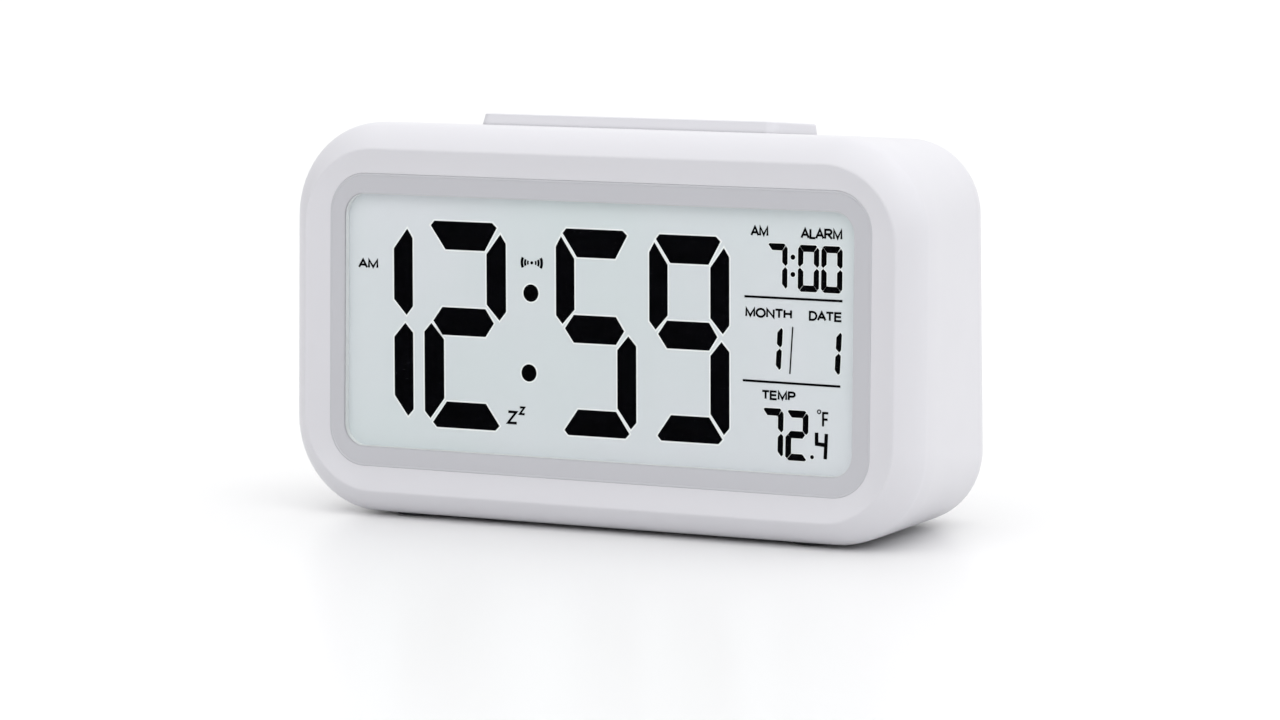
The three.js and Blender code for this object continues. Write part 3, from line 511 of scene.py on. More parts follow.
WHITE = (0.69, 0.686, 0.722)
FRAME_GREY = (0.535, 0.537, 0.570)
LOOKS = {
    "white_shell": moulded("white_shell", WHITE, 0.34, grain=0.0005, drift=0.004),
    "display_border": moulded("display_border", FRAME_GREY, 0.40, grain=0.0006, drift=0.006),
    "clear_lens": lens_clear(),
    "lcd": lcd_glass(),
    "silver_film": moulded("silver_film", (0.66, 0.68, 0.70), 0.45, metallic=0.35),
    "light_guide": clear_block(),
    "led": light_diode(),
    "holder_plastic": moulded("holder_plastic", (0.68, 0.68, 0.68), 0.5),
    "contact_rubber": rubber("contact_rubber", (0.035, 0.045, 0.06)),
    "board": circuit_board(),
    "black_plastic": moulded("black_plastic", (0.018, 0.018, 0.020), 0.42, grain=0.008, drift=0.2),
    "steel": drawn_metal("steel", (0.58, 0.59, 0.61), 0.30),
    "nickel": drawn_metal("nickel", (0.74, 0.71, 0.65), 0.22),
    "foot_rubber": rubber("foot_rubber", (0.075, 0.078, 0.085)),
    "button_grey": moulded("button_grey", (0.50, 0.505, 0.53), 0.42, grain=0.006, drift=0.015),
    "cell_sleeve": foil_sleeve(),
    "cable_white": moulded("cable_white", (0.62, 0.62, 0.64), 0.5),
    "wire_red": moulded("wire_red", (0.42, 0.018, 0.012), 0.38, drift=0.1),
    "wire_black": moulded("wire_black", (0.012, 0.012, 0.012), 0.4, drift=0.2),
    "lcd_ink": lcd_ink(),
    "lcd_edge": lcd_edge("lcd_edge", 0.98),
    # The spacer's pale tone is painted light: it hides the shade on the window's wall round the LCD.
    "spacer_painted_light": lcd_edge("spacer_painted_light", 0.87),
}
SLOT_OF = {part["node"]: part["material_slot"] for part in frame["record"]["subparts"]}


# ---- the case

def station(side, top, bottom, radius, y_at):
    """One outline round the case, inset from its widest box; y_at gives Y at a height."""
    shape = (-WIDTH / 2 + side, bottom, WIDTH / 2 - side, HEIGHT - top, radius)
    return [(x, y_at(up), BASE + up) for x, up in outline(shape, STEPS)]


def leaning(depth):
    return lambda up: FACE_Y + depth + (up - HEIGHT / 2) * tan(LEAN)


def opening_station(depth, grow=0.0):
    side = (WIDTH - OPENING.width) / 2 - grow
    height = (HEIGHT - OPENING.height) / 2 - grow
    return station(side, height, height, OPENING.corner + grow, leaning(depth))


def fillet_station(share):
    """The rounded front edge: it leaves the dish's rim at an angle and ends flush with the sides."""
    left = (1 - share) ** 2
    depth = 2 * share * (1 - share) * FILLET.rise + share * share * FILLET.depth
    side, height = FILLET.side * left, FILLET.height * left
    return station(side, height, height, CORNER + (FILLET.corner - CORNER) * left, leaning(depth))


EASE = 0.18  # share of the side's length over which its taper starts


def tapered(share):
    """How much of the draft has been reached at a share of the way to the rear rounding."""
    straight = 1 / (1 - EASE / 2)
    if share < EASE:
        return straight * share * share / (2 * EASE)
    return straight * (share - EASE / 2)


def side_station(share):
    """An outline between the rounded front edge and the rounded rear edge."""
    draft = tapered(share)
    front = leaning(FILLET.depth)
    radius = CORNER + (REAR.corner - CORNER) * share
    return station(REAR.side * draft, REAR.top * draft, 0, radius,
                   lambda up: front(up) + (CAP_Y - front(up)) * share)


def rear_station(y, wall=0.0, at=None):
    """An outline of the rear part, `wall` inside the outer skin, moved to Y `at` if given."""
    share = min(1.0, max(0.0, (y - CAP_Y) / REAR.round))
    pull = REAR.pull * (1 - sqrt(1 - share * share))
    inward = pull + wall
    radius = REAR.corner - 0.6 * pull - wall
    place = y if at is None else at
    return station(REAR.side + inward, REAR.top + inward, inward, radius, lambda up: place)


def top_of_case(y):
    """Height of the case's top at a place along its middle."""
    front = FACE_Y + FILLET.depth + HEIGHT / 2 * tan(LEAN)
    return BASE + HEIGHT - REAR.top * tapered((y - front) / (CAP_Y - front))


def steps_between(start, end, count):
    return [start + (end - start) * i / count for i in range(count + 1)]


def screw_places():
    heights = (CASE_SCREW.low, CASE_SCREW.high)
    return [(x, z) for x in (-CASE_SCREW.x, CASE_SCREW.x) for z in heights]


def foot_places():
    centres = {}
    for node in frame["nodes"]:
        if node.startswith("foot_"):
            low, high = span(node)
            centres[node] = ((low.x + high.x) / 2, (low.y + high.y) / 2, (high.x - low.x) / 2, high.z)
    return centres


DISH_HOLLOW = 1.35  # 1 would be a straight slope


def dish_station(share):
    """An outline in the hollow dish, from the display opening (0) to the dish's rim (1)."""
    side = (WIDTH - OPENING.width) / 2 * (1 - share) + FILLET.side * share
    height = (HEIGHT - OPENING.height) / 2 * (1 - share) + FILLET.height * share
    radius = OPENING.corner * (1 - share) + FILLET.corner * share
    return station(side, height, height, radius, leaning(OPENING.depth * (1 - share ** DISH_HOLLOW)))


LIP = 0.12  # rounding of the opening's lip
DISH_SHARES = (0.06, 0.2, 0.35, 0.5, 0.65, 0.8, 0.9, 0.945)
FILLET_SHARES = (0.035, 0.1, 0.2, 0.3, 0.4, 0.5, 0.58, 0.66, 0.73, 0.8, 0.86, 0.91, 0.955, 1.0)
SIDE_SHARES = (0.03, 0.06, 0.1, 0.14, 0.18, 0.3, 0.45, 0.6, 0.8)


def front_rings():
    """The opening's wall, its rounded lip, the dish, the soft ridge and the rounded front edge."""
    rings = [opening_station(LIP_BACK), opening_station(OPENING.depth + LIP)]
    for turn in steps_between(0, pi / 2, 4)[1:]:
        rings.append(opening_station(OPENING.depth + LIP * (1 - sin(turn)), -LIP * cos(turn)))
    rings += [dish_station(share) for share in DISH_SHARES]
    # The ridge is blended between the dish's last outline and the rounded edge's first.
    before, ridge = dish_station(DISH_SHARES[-1]), dish_station(1.0)
    after = fillet_station(FILLET_SHARES[0])
    for t in (0.25, 0.5, 0.75):
        weights = ((1 - t) ** 2, 2 * t * (1 - t), t * t)
        rings.append([tuple(sum(w * p[axis] for w, p in zip(weights, trio)) for axis in range(3))
                      for trio in zip(before, ridge, after)])
    return rings + [fillet_station(share) for share in FILLET_SHARES]


def build_housing():
    rings = front_rings() + [side_station(share) for share in SIDE_SHARES]
    rings += [rear_station(y) for y in steps_between(CAP_Y, SEAM_Y - 0.15, 6)]
    rings += [rear_station(SEAM_Y, 0.12), rear_station(SEAM_Y, WALL), rear_station(CAP_Y, WALL)]
    for wall, depth in ((WALL, FILLET.depth), (WALL + 1.2, LIP_BACK)):
        rings.append(station(wall, wall, wall, CORNER - wall, leaning(depth)))
    housing = raw("case_front_shell", skin(rings, loop=True))
    rib = CASE_BOSS.rib
    for x, z in screw_places():
        edges = sorted((x, copysign(WIDTH / 2 - 4, x)))
        carve(housing, block(*edges, -1, CAP_Y - 2, z - rib, z + rib), "UNION")
        carve(housing, rod(x, z, CASE_BOSS.radius, -1, CASE_BOSS.back, rims=(0, 0.3)), "UNION")
        carve(housing, rod(x, z, CASE_BOSS.bore, CASE_BOSS.bore_front, CASE_BOSS.back + OVERLAP))
    for x in (-BAR_BOSS.x, BAR_BOSS.x):
        top = top_of_case(BAR.y) - 1.2
        carve(housing, rod(x, BAR.y, BAR_BOSS.radius, BAR_BOSS.low, top, level), "UNION")
        carve(housing, rod(x, BAR.y, BAR_BOSS.bore, 55, 68, level))
    for x, up in [(sx * LCD_BOSS.x, su * LCD_BOSS.up) for sx in (-1, 1) for su in (-1, 1)]:
        carve(housing, rod(x, up, LCD_BOSS.radius, LIP_BACK - 0.5, LCD_BOSS.back, on_face), "UNION")
        carve(housing, rod(x, up, LCD_BOSS.bore, LCD_BOSS.bore_front, 12, on_face))
    carve(housing, bar_slot())
    for x, y, radius, top in foot_places().values():
        carve(housing, rod(x, y, radius + 0.2, BASE - OVERLAP, top + 0.1, level))
    dress(housing, "white_shell", "housing_shell")


def bar_slot():
    """The slot for the press bar, with a rounded mouth that follows the sloping top."""
    gap = BAR.gap
    shape = rect(BAR.length + 2 * gap, BAR.depth + 2 * gap, BAR.corner + gap, 0, BAR.y)
    mouth = BAR.mouth

    def at_top(grow, drop):
        return [(x, y, top_of_case(y) - drop) for x, y in outline(inset(shape, -grow))]

    rings = [ring(shape, BAR.floor - 6, level)]
    rings += [at_top(mouth - by, high) for by, high in reversed(rim(mouth))]
    rings.append(at_top(mouth, -4))
    return skin(rings)


build_housing()


# ---- the display

def window_rect(width, height, corner):
    return rect(width, height, corner, WINDOW.shift)


def face_rings(pairs):
    """Rings on the front face, from (outline, depth) pairs."""
    return [ring(shape, depth, on_face, STEPS) for shape, depth in pairs]


def build_display_frame():
    """The grey frame: a shallow slope to the window, a fine raised bead round it, a flange behind."""
    outer = rect(OPENING.width - 0.03, OPENING.height - 0.03, OPENING.corner)
    window = window_rect(WINDOW.width, WINDOW.height, WINDOW.corner)
    edge, bead, bead_side = 0.22, 0.20, 0.12
    top, floor = OPENING.depth + 0.04, WINDOW.depth + 0.03
    start, end = inset(outer, bead_side + 2 * bead), inset(window, -edge)
    outlines = [(window, LENS.flange), (window, floor + edge)]
    outlines += [(inset(window, by - edge), floor + high) for by, high in reversed(rim(edge, 4))]
    # The slope is hollow: steeper near the window.
    for share in (0.85, 0.7, 0.5, 0.3):
        mixed = tuple(a + (b - a) * share for a, b in zip(start, end))
        outlines.append((mixed, top + (floor - top) * share ** 1.8))
    # The bead runs just inside the case's lip.
    for turn in steps_between(0, pi, 6):
        across, rise = bead * (1 + cos(turn)), bead * 0.4 * sin(turn)
        outlines.append((inset(outer, bead_side + across), top - rise))
    outlines.append((inset(outer, 0.03), top + 0.02))
    flange, rebate = rect(118.4, 59.2, 8.6), window_rect(113.4, 52.6, 2.0)
    front, back = LIP_BACK + 0.15, 3.5
    outlines += [(outer, front), (flange, front), (flange, back), (rebate, back),
                 (rebate, LENS.flange - 0.05)]
    piece("display_frame_ring", skin(face_rings(outlines), loop=True), "display_border", "display_frame")


def build_lens():
    pane = window_rect(WINDOW.width - 0.3, WINDOW.height - 0.3, WINDOW.corner - 0.15)
    flange, step = window_rect(113.0, 52.2, 1.8), LENS.flange + 0.02
    outlines = [(inset(pane, by), LENS.front + high) for by, high in rim(0.15, 4)]
    outlines += [(pane, step), (flange, step), (flange, LENS.back)]
    piece("display_window", skin(face_rings(outlines)), "clear_lens", "display_lens")


def build_lcd_spacer():
    """A spacer that lines the window's edge, from behind the lens's rim to the LCD; its pale tone is
    painted light that hides the shade in the window's recess.
    """
    outer = inset(window_rect(WINDOW.width, WINDOW.height, WINDOW.corner), 0.02)
    inner = inset(outer, 0.11)
    front, back = 1.62, LCD_FRONT - 0.03
    outlines = [(outer, front), (outer, back), (inner, back), (inner, front)]
    piece("lcd_lining_painted_light", skin(face_rings(outlines), loop=True), "spacer_painted_light")


build_display_frame()
build_lens()
build_lcd_spacer()


# ---- what the display shows

# A digit's segments, from its lower left corner, in the size it was drawn.
DIGIT_WIDTH, DIGIT_HEIGHT = 17.5, 39.1
MIDDLE_BAR = 20.2


def segment_outlines():
    w, h, m = DIGIT_WIDTH, DIGIT_HEIGHT, MIDDLE_BAR
    return {
        "a": [(1.5, h - 0.9), (2.3, h), (w - 2.9, h), (w - 1.9, h - 0.9), (w - 4.5, h - 5.35),
              (4.65, h - 5.35)],
        "b": [(w, h - 3.8), (w - 1.15, h - 2.1), (w - 4.1, h - 5.9), (w - 4.1, m + 3.5),
              (w - 1.4, m + 0.6), (w, m + 2.3)],
        "c": [(w, 3.1), (w - 1.2, 1.8), (w - 4.1, 5.6), (w - 4.1, m - 3.6), (w - 1.7, m - 0.9),
              (w, m - 2.7)],
        "d": [(1.75, 0.9), (2.6, 0), (w - 2.4, 0), (w - 1.5, 0.9), (w - 4.4, 4.95), (4.75, 4.95)],
        "e": [(0, 2.9), (1.2, 1.6), (4.2, 5.5), (4.2, m - 3.5), (1.5, m - 0.5), (0, m - 2.2)],
        "f": [(0, h - 3.5), (1.15, h - 1.55), (4.05, h - 5.7), (4.05, m + 3.6), (1.4, m + 0.8),
              (0, m + 2.4)],
        "g": [(1.95, m), (3.9, m + 2.63), (w - 4.4, m + 2.63), (w - 2.6, m), (w - 4.4, m - 2.63),
              (3.9, m - 2.63)],
    }


SEGMENTS = segment_outlines()
LIT = {"0": "abcdef", "1": "bc", "2": "abged", "5": "afgcd", "7": "abc", "9": "abcdfg"}


def digit(character, left, base, right, top, slant=0.0):
    """The outlines of one lit digit in its box; its slant is in degrees to the right."""
    wide, high = (right - left) / DIGIT_WIDTH, (top - base) / DIGIT_HEIGHT
    lean = tan(radians(slant))
    return [[(left + x * wide + (up - DIGIT_HEIGHT / 2) * high * lean, base + up * high)
             for x, up in SEGMENTS[name]] for name in LIT[character]]


def arc(x, up, wide, high, start, end, count=12):
    turns = steps_between(radians(start), radians(end), count)
    return [(x + wide * cos(turn), up + high * sin(turn)) for turn in turns]


def disc(x, up, radius):
    return arc(x, up, radius, radius, 0, 360, 40)[:-1]


def offset_line(points, by, closed):
    """A polyline moved sideways by an even amount, with mitred corners."""
    points = [Vector(point) for point in points]
    count = len(points)
    moved = []
    for i, here in enumerate(points):
        ahead = (points[(i + 1) % count] - here) if closed or i < count - 1 else (here - points[i - 1])
        behind = (here - points[i - 1]) if closed or i > 0 else ahead
        first, second = (Vector((-way.y, way.x)).normalized() for way in (behind, ahead))
        across = (first + second).normalized()
        moved.append(tuple(here + across * by / max(across.dot(first), 0.5)))
    return moved


def widened(points, by):
    """A closed outline made larger by an even amount."""
    around = zip(points[-1:] + points[:-1], points)
    area = sum(before[0] * here[1] - here[0] * before[1] for before, here in around)
    return offset_line(points, -by if area > 0 else by, True)


def on_glass(points, depth):
    """Places outlines on the LCD. Their heights count from the case's underside."""
    return [on_face(x, depth, up - HEIGHT / 2) for x, up in points]


def inked(outlines, grow=0.0, thickness=INK):
    """Filled outlines that stand on the LCD's front."""
    bodies = []
    for points in outlines:
        shape = widened(points, grow) if grow else points
        depths = (LCD_FRONT + 0.005, LCD_FRONT - thickness)
        bodies.append(skin([on_glass(shape, depth) for depth in depths]))
    return merge(*bodies)


def stroke(points, thickness):
    """A line of even thickness on the LCD; it closes on itself when it ends where it starts."""
    back, front = LCD_FRONT + 0.005, LCD_FRONT - INK
    if (Vector(points[0]) - Vector(points[-1])).length > 0.001:
        edges = [offset_line(points, side * thickness / 2, False) for side in (-1, 1)]
        return inked([edges[0] + edges[1][::-1]])
    outer, inner = (offset_line(points[:-1], side * thickness / 2, True) for side in (-1, 1))
    rings = [on_glass(outer, back), on_glass(outer, front), on_glass(inner, front), on_glass(inner, back)]
    return skin(rings, loop=True)


# Letters as strokes, in units of their height. Each entry: advance, strokes.
LETTERS = {
    "A": (0.93, [[(0.05, 0), (0.46, 1), (0.88, 0)], [(0.19, 0.34), (0.74, 0.34)]]),
    "D": (1.0, [[(0.16, 0), (0.16, 1), *arc(0.46, 0.5, 0.42, 0.5, 90, -90), (0.16, 0)]]),
    "E": (0.93, [[(0.83, 1), (0.16, 1), (0.16, 0), (0.85, 0)], [(0.16, 0.52), (0.79, 0.52)]]),
    "F": (0.85, [[(0.80, 1), (0.16, 1), (0.16, 0)], [(0.16, 0.52), (0.72, 0.52)]]),
    "H": (1.01, [[(0.16, 0), (0.16, 1)], [(0.86, 0), (0.86, 1)], [(0.16, 0.53), (0.86, 0.53)]]),
    "L": (0.78, [[(0.15, 1), (0.15, 0), (0.74, 0)]]),
    "M": (1.16, [[(0.15, 0), (0.15, 1), (0.58, 0.08), (1.01, 1), (1.01, 0)]]),
    "N": (1.01, [[(0.15, 0), (0.15, 1), (0.86, 0), (0.86, 1)]]),
    "O": (1.09, [arc(0.55, 0.5, 0.45, 0.5, 0, 360, 32)]),
    "P": (0.93, [[(0.15, 0), (0.15, 1), *arc(0.56, 0.73, 0.27, 0.27, 90, -90), (0.15, 0.46)]]),
    "R": (1.01, [[(0.15, 0), (0.15, 1), *arc(0.6, 0.75, 0.27, 0.25, 90, -90), (0.15, 0.5)],
                 [(0.5, 0.48), (0.93, 0)]]),
    "T": (0.85, [[(0.04, 1), (0.81, 1)], [(0.425, 1), (0.425, 0)]]),
    "Z": (0.85, [[(0.08, 1), (0.74, 1), (0.06, 0), (0.78, 0)]]),
}


def word(text, left, low, right, high, thickness):
    """Lettering of even strokes, fitted to a box on the display."""
    placed, start = [], 0.0
    for character in text:
        advance, strokes = LETTERS[character]
        placed += [[(start + x, up) for x, up in points] for points in strokes]
        start += advance
    first = min(x for points in placed for x, _ in points)
    last = max(x for points in placed for x, _ in points)
    wide, rise = (right - left - thickness) / (last - first), high - low - thickness
    return merge(*(stroke([(left + thickness / 2 + (x - first) * wide, low + thickness / 2 + up * rise)
                           for x, up in points], thickness) for points in placed))


# Left, low, right and high edge on the display, and the strokes' thickness
WORDS = [
    ("AM", -52.95, 47.33, -48.42, 49.2, 0.40),
    ("AM", 32.4, 56.68, 36.12, 58.65, 0.40),
    ("ALARM", 42.78, 56.6, 51.36, 58.62, 0.40),
    ("MONTH", 31.5, 41.68, 41.18, 43.52, 0.39),
    ("DATE", 44.68, 41.6, 51.56, 43.44, 0.39),
    ("TEMP", 35.0, 26.58, 42.12, 28.38, 0.39),
    ("F", 47.62, 22.08, 49.1, 24.98, 0.42),
    ("Z", -19.5, 19.0, -17.08, 21.62, 0.52),
    ("Z", -16.86, 20.85, -15.4, 22.53, 0.42),
]


def signal_icon(x, up):
    """A dot with three arcs on each side."""
    sizes = ((2.17, 26, 0.54), (1.48, 24, 0.43), (0.87, 24, 0.34))
    bows = [stroke(arc(x, up, radius, radius, middle - half, middle + half), thickness)
            for middle in (0, 180) for radius, half, thickness in sizes]
    return merge(inked([disc(x, up, 0.3)]), *bows)


# A digit's left, low, right and high edge on the display, and its slant; a dot's centre and radius
TIME_SLANT, DATE_SLANT, TEMPERATURE_SLANT = -0.7, 2.6, 0.3
TIME_DIGITS = [
    ("1", -58.5, 17.5, -40.5, 57.45, TIME_SLANT),
    ("2", -37.95, 17.57, -19.78, 57.07, TIME_SLANT),
    ("5", -8.82, 17.66, 8.45, 56.65, TIME_SLANT),
    ("9", 11.27, 17.76, 28.2, 56.3, TIME_SLANT),
]
TIME_DOTS = [(-14.39, 44.12, 1.64), (-14.69, 28.96, 1.64)]
SMALL_DIGITS = [
    ("7", 35.87, 46.95, 40.1, 55.5),
    ("0", 42.37, 46.92, 46.62, 55.43),
    ("0", 47.17, 46.9, 51.42, 55.4),
    ("1", 34.85, 31.9, 39.13, 40.42, DATE_SLANT),
    ("1", 47.0, 31.6, 51.3, 40.1, DATE_SLANT),
    ("7", 35.15, 15.88, 39.6, 25.05, TEMPERATURE_SLANT),
    ("2", 40.17, 15.68, 44.77, 24.9, TEMPERATURE_SLANT),
]
SMALL_DOTS = [(41.26, 53.14, 0.43), (41.29, 49.95, 0.43), (45.65, 16.51, 0.34)]


def lit(digits, dots):
    """The outlines of all segments and dots of one size."""
    return [points for entry in digits for points in digit(*entry)] + [disc(*entry) for entry in dots]


def build_display_content():
    time_shapes, small = lit(TIME_DIGITS, TIME_DOTS), lit(SMALL_DIGITS, SMALL_DOTS)
    rules = [stroke([(31.27, 45.52), (51.52, 45.48)], 0.42), stroke([(31.1, 29.95), (51.3, 29.8)], 0.42),
             stroke([(41.37, 40.3), (40.87, 31.6)], 0.27)]
    four = [stroke([(46.52, 21.08), (46.56, 19.0), (48.5, 18.85)], 0.72),
            stroke([(48.55, 20.95), (48.36, 16.28)], 0.7)]
    degree = stroke(arc(47.0, 24.95, 0.33, 0.33, 0, 360, 24), 0.2)
    piece("lcd_time", inked(time_shapes), "lcd_ink")
    piece("lcd_small_digits", merge(inked(small, 0.05), *four), "lcd_ink")
    piece("lcd_rules_and_icon", merge(*rules, signal_icon(-14.24, 49.87), degree), "lcd_ink")
    piece("lcd_words", merge(*(word(*entry) for entry in WORDS)), "lcd_ink")
    edges = merge(inked(time_shapes, 0.3, INK * 0.4), inked(small, 0.2, INK * 0.4))
    piece("lcd_segment_edges", edges, "lcd_edge")


build_display_content()


# ---- press bar and its springs

def build_snooze_bar():
    """The press bar: a hollow cap with rounded edges, a flange under the case's top and two posts."""
    slope = (top_of_case(BAR.y - 5) - top_of_case(BAR.y + 5)) / 10
    shape = rect(BAR.length, BAR.depth, BAR.corner, 0, BAR.y)
    flange, hollow = inset(shape, -BAR.flange), inset(shape, BAR.wall)
    edge, draft, crown, deepest = BAR.edge, BAR.draft, 0.1, 8.0
    low = BAR.floor - BAR.lip

    def at_top(by, drop, leaned=1.0):
        left, front, right, rear, radius = inset(shape, by)
        shaped = (left, front + BAR.lean * leaned, right, rear, radius)
        return [(x, y, BAR.top - drop - slope * (y - BAR.y)) for x, y in outline(shaped)]

    rings = [at_top(deepest + (draft + edge - deepest) * share, crown * (share ** 2 - 1))
             for share in (0, 0.2, 0.4, 0.6, 0.8, 0.92)]
    rings += [at_top(draft + by, high) for by, high in rim(edge)]
    rings += [at_top(draft * 0.5, BAR.shoulder * 0.6, 0.5), at_top(0, BAR.shoulder, 0)]
    below = [(shape, BAR.floor), (flange, BAR.floor), (flange, low), (hollow, low), (hollow, BAR.ceiling)]
    rings += [ring(around, z, level) for around, z in below]
    legs = [(x, BAR_POST.radius, BAR_FOOT) for x in (-BAR_POST.x, BAR_POST.x)]
    legs.append((0, BAR_POST.stem, BAR_POST.stem_low))
    legs = [rod(x, BAR.y, radius, foot, BAR.ceiling + 0.2, level, (0.3, 0)) for x, radius, foot in legs]
    piece("press_bar", merge(skin(rings), *legs), "white_shell", "snooze_bar", body="snooze_bar")


def build_snooze_springs():
    wire, turns, flat, travel = 0.25, 6, 0.8, 1.0
    for node in ("snooze_spring_left", "snooze_spring_right"):
        low, high = span(node)
        x, y = (low.x + high.x) / 2, (low.y + high.y) / 2
        radius = (high.x - low.x) / 2 - wire

        def at(share, angle, x=x, y=y, low=low.z, high=high.z, radius=radius):
            # The end turns lie flat, and the ones between them rise.
            rise = min(max((share * turns - flat) / (turns - 2 * flat), 0), 1)
            z = low + 2 * wire + (high - low - 4 * wire) * rise + wire * (2 * share - 1)
            return (x + radius * cos(angle), y + radius * sin(angle), z)

        made = piece(node.replace("spring", "coil"), coil(wire, turns, 180, at), "steel", node)
        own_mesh(made)


build_snooze_bar()
build_snooze_springs()


# ---- rear cover

def back_hole(shape, start, mouth=0.3):
    """A cutter for a hole in the flat back, with a rounded mouth."""
    rings = [ring(shape, start), ring(shape, BACK_Y - mouth)]
    rings += [ring(inset(shape, by - mouth), BACK_Y - high) for by, high in reversed(rim(mouth))]
    rings.append(ring(inset(shape, -mouth), BACK_Y + OVERLAP))
    return skin(rings)


def sound_slots():
    """Five slots over the buzzer, and three short ones for air below them."""
    x, z = SPEAKER.x, SPEAKER.z
    lengths = enumerate((10, 14, 16, 14, 10))
    slots = [rect(length, 1.6, 0.79, x, z + (row - 2) * 3.4) for row, length in lengths]
    return slots + [rect(9, 1.2, 0.59, x, 13.3 + (row - 1) * 2.6) for row in range(3)]


def door_tabs():
    return (TRAY.x - DOOR_TAB.x, TRAY.x + DOOR_TAB.x)


def back_holes():
    """Cutters for the screws, the buttons, the slide knob and the sound."""
    holes = []
    for x, z in screw_places():
        holes.append(rod(x, z, CASE_SCREW.bore, 14, CASE_SCREW.seat + 0.1))
        holes.append(back_hole(rect(CASE_SCREW.well, CASE_SCREW.well, 3.19, x, z), CASE_SCREW.seat))
    for x in BUTTON_X.values():
        hole = rect(BUTTON.length + 0.6, BUTTON.height + 0.6, 2.95, x, BUTTON_Z)
        holes.append(back_hole(hole, COVER_FRONT))
    slide = rect(7.2, 4.2, 0.8, SLIDER.x + SLIDER.travel / 2, BUTTON_Z)
    holes.append(back_hole(slide, COVER_FRONT, 0.2))
    return holes + [back_hole(slot, COVER_INNER_Y - OVERLAP, 0.2) for slot in sound_slots()]


def build_rear_cover():
    seam, tongue = SEAM_Y + SEAM_GAP, WALL + 0.35
    last_turn = asin((seam + 0.15 - CAP_Y) / REAR.round)
    rings = [rear_station(BACK_Y)]
    rings += [rear_station(CAP_Y + REAR.round * sin(turn))
              for turn in steps_between(radians(84), last_turn, 12)]
    rings += [rear_station(seam, 0.12), rear_station(seam, tongue)]
    for wall, y in ((tongue, SEAM_Y - 3), (tongue + 1.4, SEAM_Y - 3), (tongue + 1.4, COVER_INNER_Y)):
        rings.append(rear_station(SEAM_Y, wall, at=y))
    cover = raw("case_rear_cover", skin(rings))

    x, z, wall, border = TRAY.x, TRAY.z, TRAY.wall, TRAY.border
    inner = COVER_INNER_Y + 0.5
    for grow, front, back in ((border, TRAY.border_front, inner), (wall, TRAY.floor - wall, 17)):
        wide, high = TRAY.width / 2 + grow, TRAY.height / 2 + grow
        carve(cover, block(x - wide, x + wide, front, back, z - high, z + high), "UNION")
    for px, pz in screw_places():
        carve(cover, rod(px, pz, CASE_SCREW.post, CASE_SCREW.front, inner), "UNION")
    carve(cover, rod(SPEAKER.x, SPEAKER.z, SPEAKER.cup, SPEAKER.front, inner), "UNION")
    carve(cover, rod(SPEAKER.x, SPEAKER.z, SPEAKER.bore, 14, COVER_INNER_Y))

    seat = rect(DOOR.width + 2 * DOOR.gap, DOOR.height + 2 * DOOR.gap, DOOR.corner, x, z)
    hollow = rect(TRAY.width, TRAY.height, 0.8, x, z)
    carve(cover, slab(hollow, TRAY.floor, COVER_INNER_Y + OVERLAP))
    carve(cover, back_hole(seat, COVER_INNER_Y, 0.25))
    for px in door_tabs():
        carve(cover, block(px - 3.4, px + 3.4, 17.2, COVER_INNER_Y + 0.1, DOOR_LOW.z - 0.8, 14))
    for hole in back_holes():
        carve(cover, hole)
    dress(cover, "white_shell", "rear_cover")


def build_case_screws():
    """Pan-head screws with a cross recess."""
    profile = [(1.4, 5.6), (1.4, 17.4), (2.8, 17.4), (2.8, 17.9), (2.6, 18.5), (2.1, 19.1), (1.4, 19.4)]
    arm, slot = 1.55, 0.26
    for x, z in screw_places():
        place = f"{'lower' if z == CASE_SCREW.low else 'upper'}_{'left' if x < 0 else 'right'}"
        made = raw(f"cover_screw_{place}", turned(profile, x, z))
        for wide, high in ((arm, slot), (slot, arm)):
            carve(made, block(x - wide, x + wide, 18.5, 21, z - high, z + high))
        dress(made, "steel", f"case_screw_{place}")


build_rear_cover()
build_case_screws()


# ---- battery door

def build_battery_door():
    """The door: a clip between two slots with a grip above, two tabs below and an arrow."""
    x, z = TRAY.x, TRAY.z
    outside, inside = DOOR_HIGH.y, DOOR_HIGH.y - DOOR.thickness
    low, high = z - DOOR.height / 2, z + DOOR.height / 2
    grip = high - 3.4
    shape = rect(DOOR.width, DOOR.height, DOOR.corner - DOOR.gap, x, z)
    door = raw("battery_hatch", slab(shape, inside, outside, rims=(0, 0.3)))
    for dx in (-6, 6):
        carve(door, slab(rect(1.0, 12, 0.45, x + dx, high), inside - OVERLAP, outside + OVERLAP))
    carve(door, slab(rect(9, 3.4, 1.2, x, grip), outside - 0.8, outside + OVERLAP))
    added = [slab(rect(7, 0.6, 0.29, x, grip + dz), outside - 1.0, outside - 0.3, rims=(0, 0.2))
             for dz in (-0.9, 0.9)]
    for px in door_tabs():
        half, tongue = DOOR_TAB.width / 2, rect(DOOR_TAB.width, 4.0, 0.5, px, low + 0.4)
        added.append(slab(tongue, DOOR_TAB.front, 19.4, rims=(0.3, 0)))
        added.append(block(px - half, px + half, 19.2, inside + 0.3, low + 0.4, low + 2.4))
    arrow = [(x - 2.2, high - 9.5), (x + 2.2, high - 9.5), (x, high - 7.2)]
    added.append(plate(arrow, outside - 0.3, outside + 0.15, upright))
    for shape in added:
        carve(door, shape, "UNION")
    dress(door, "white_shell", "battery_door", body="battery_door")


build_battery_door()


# ---- cells and contacts

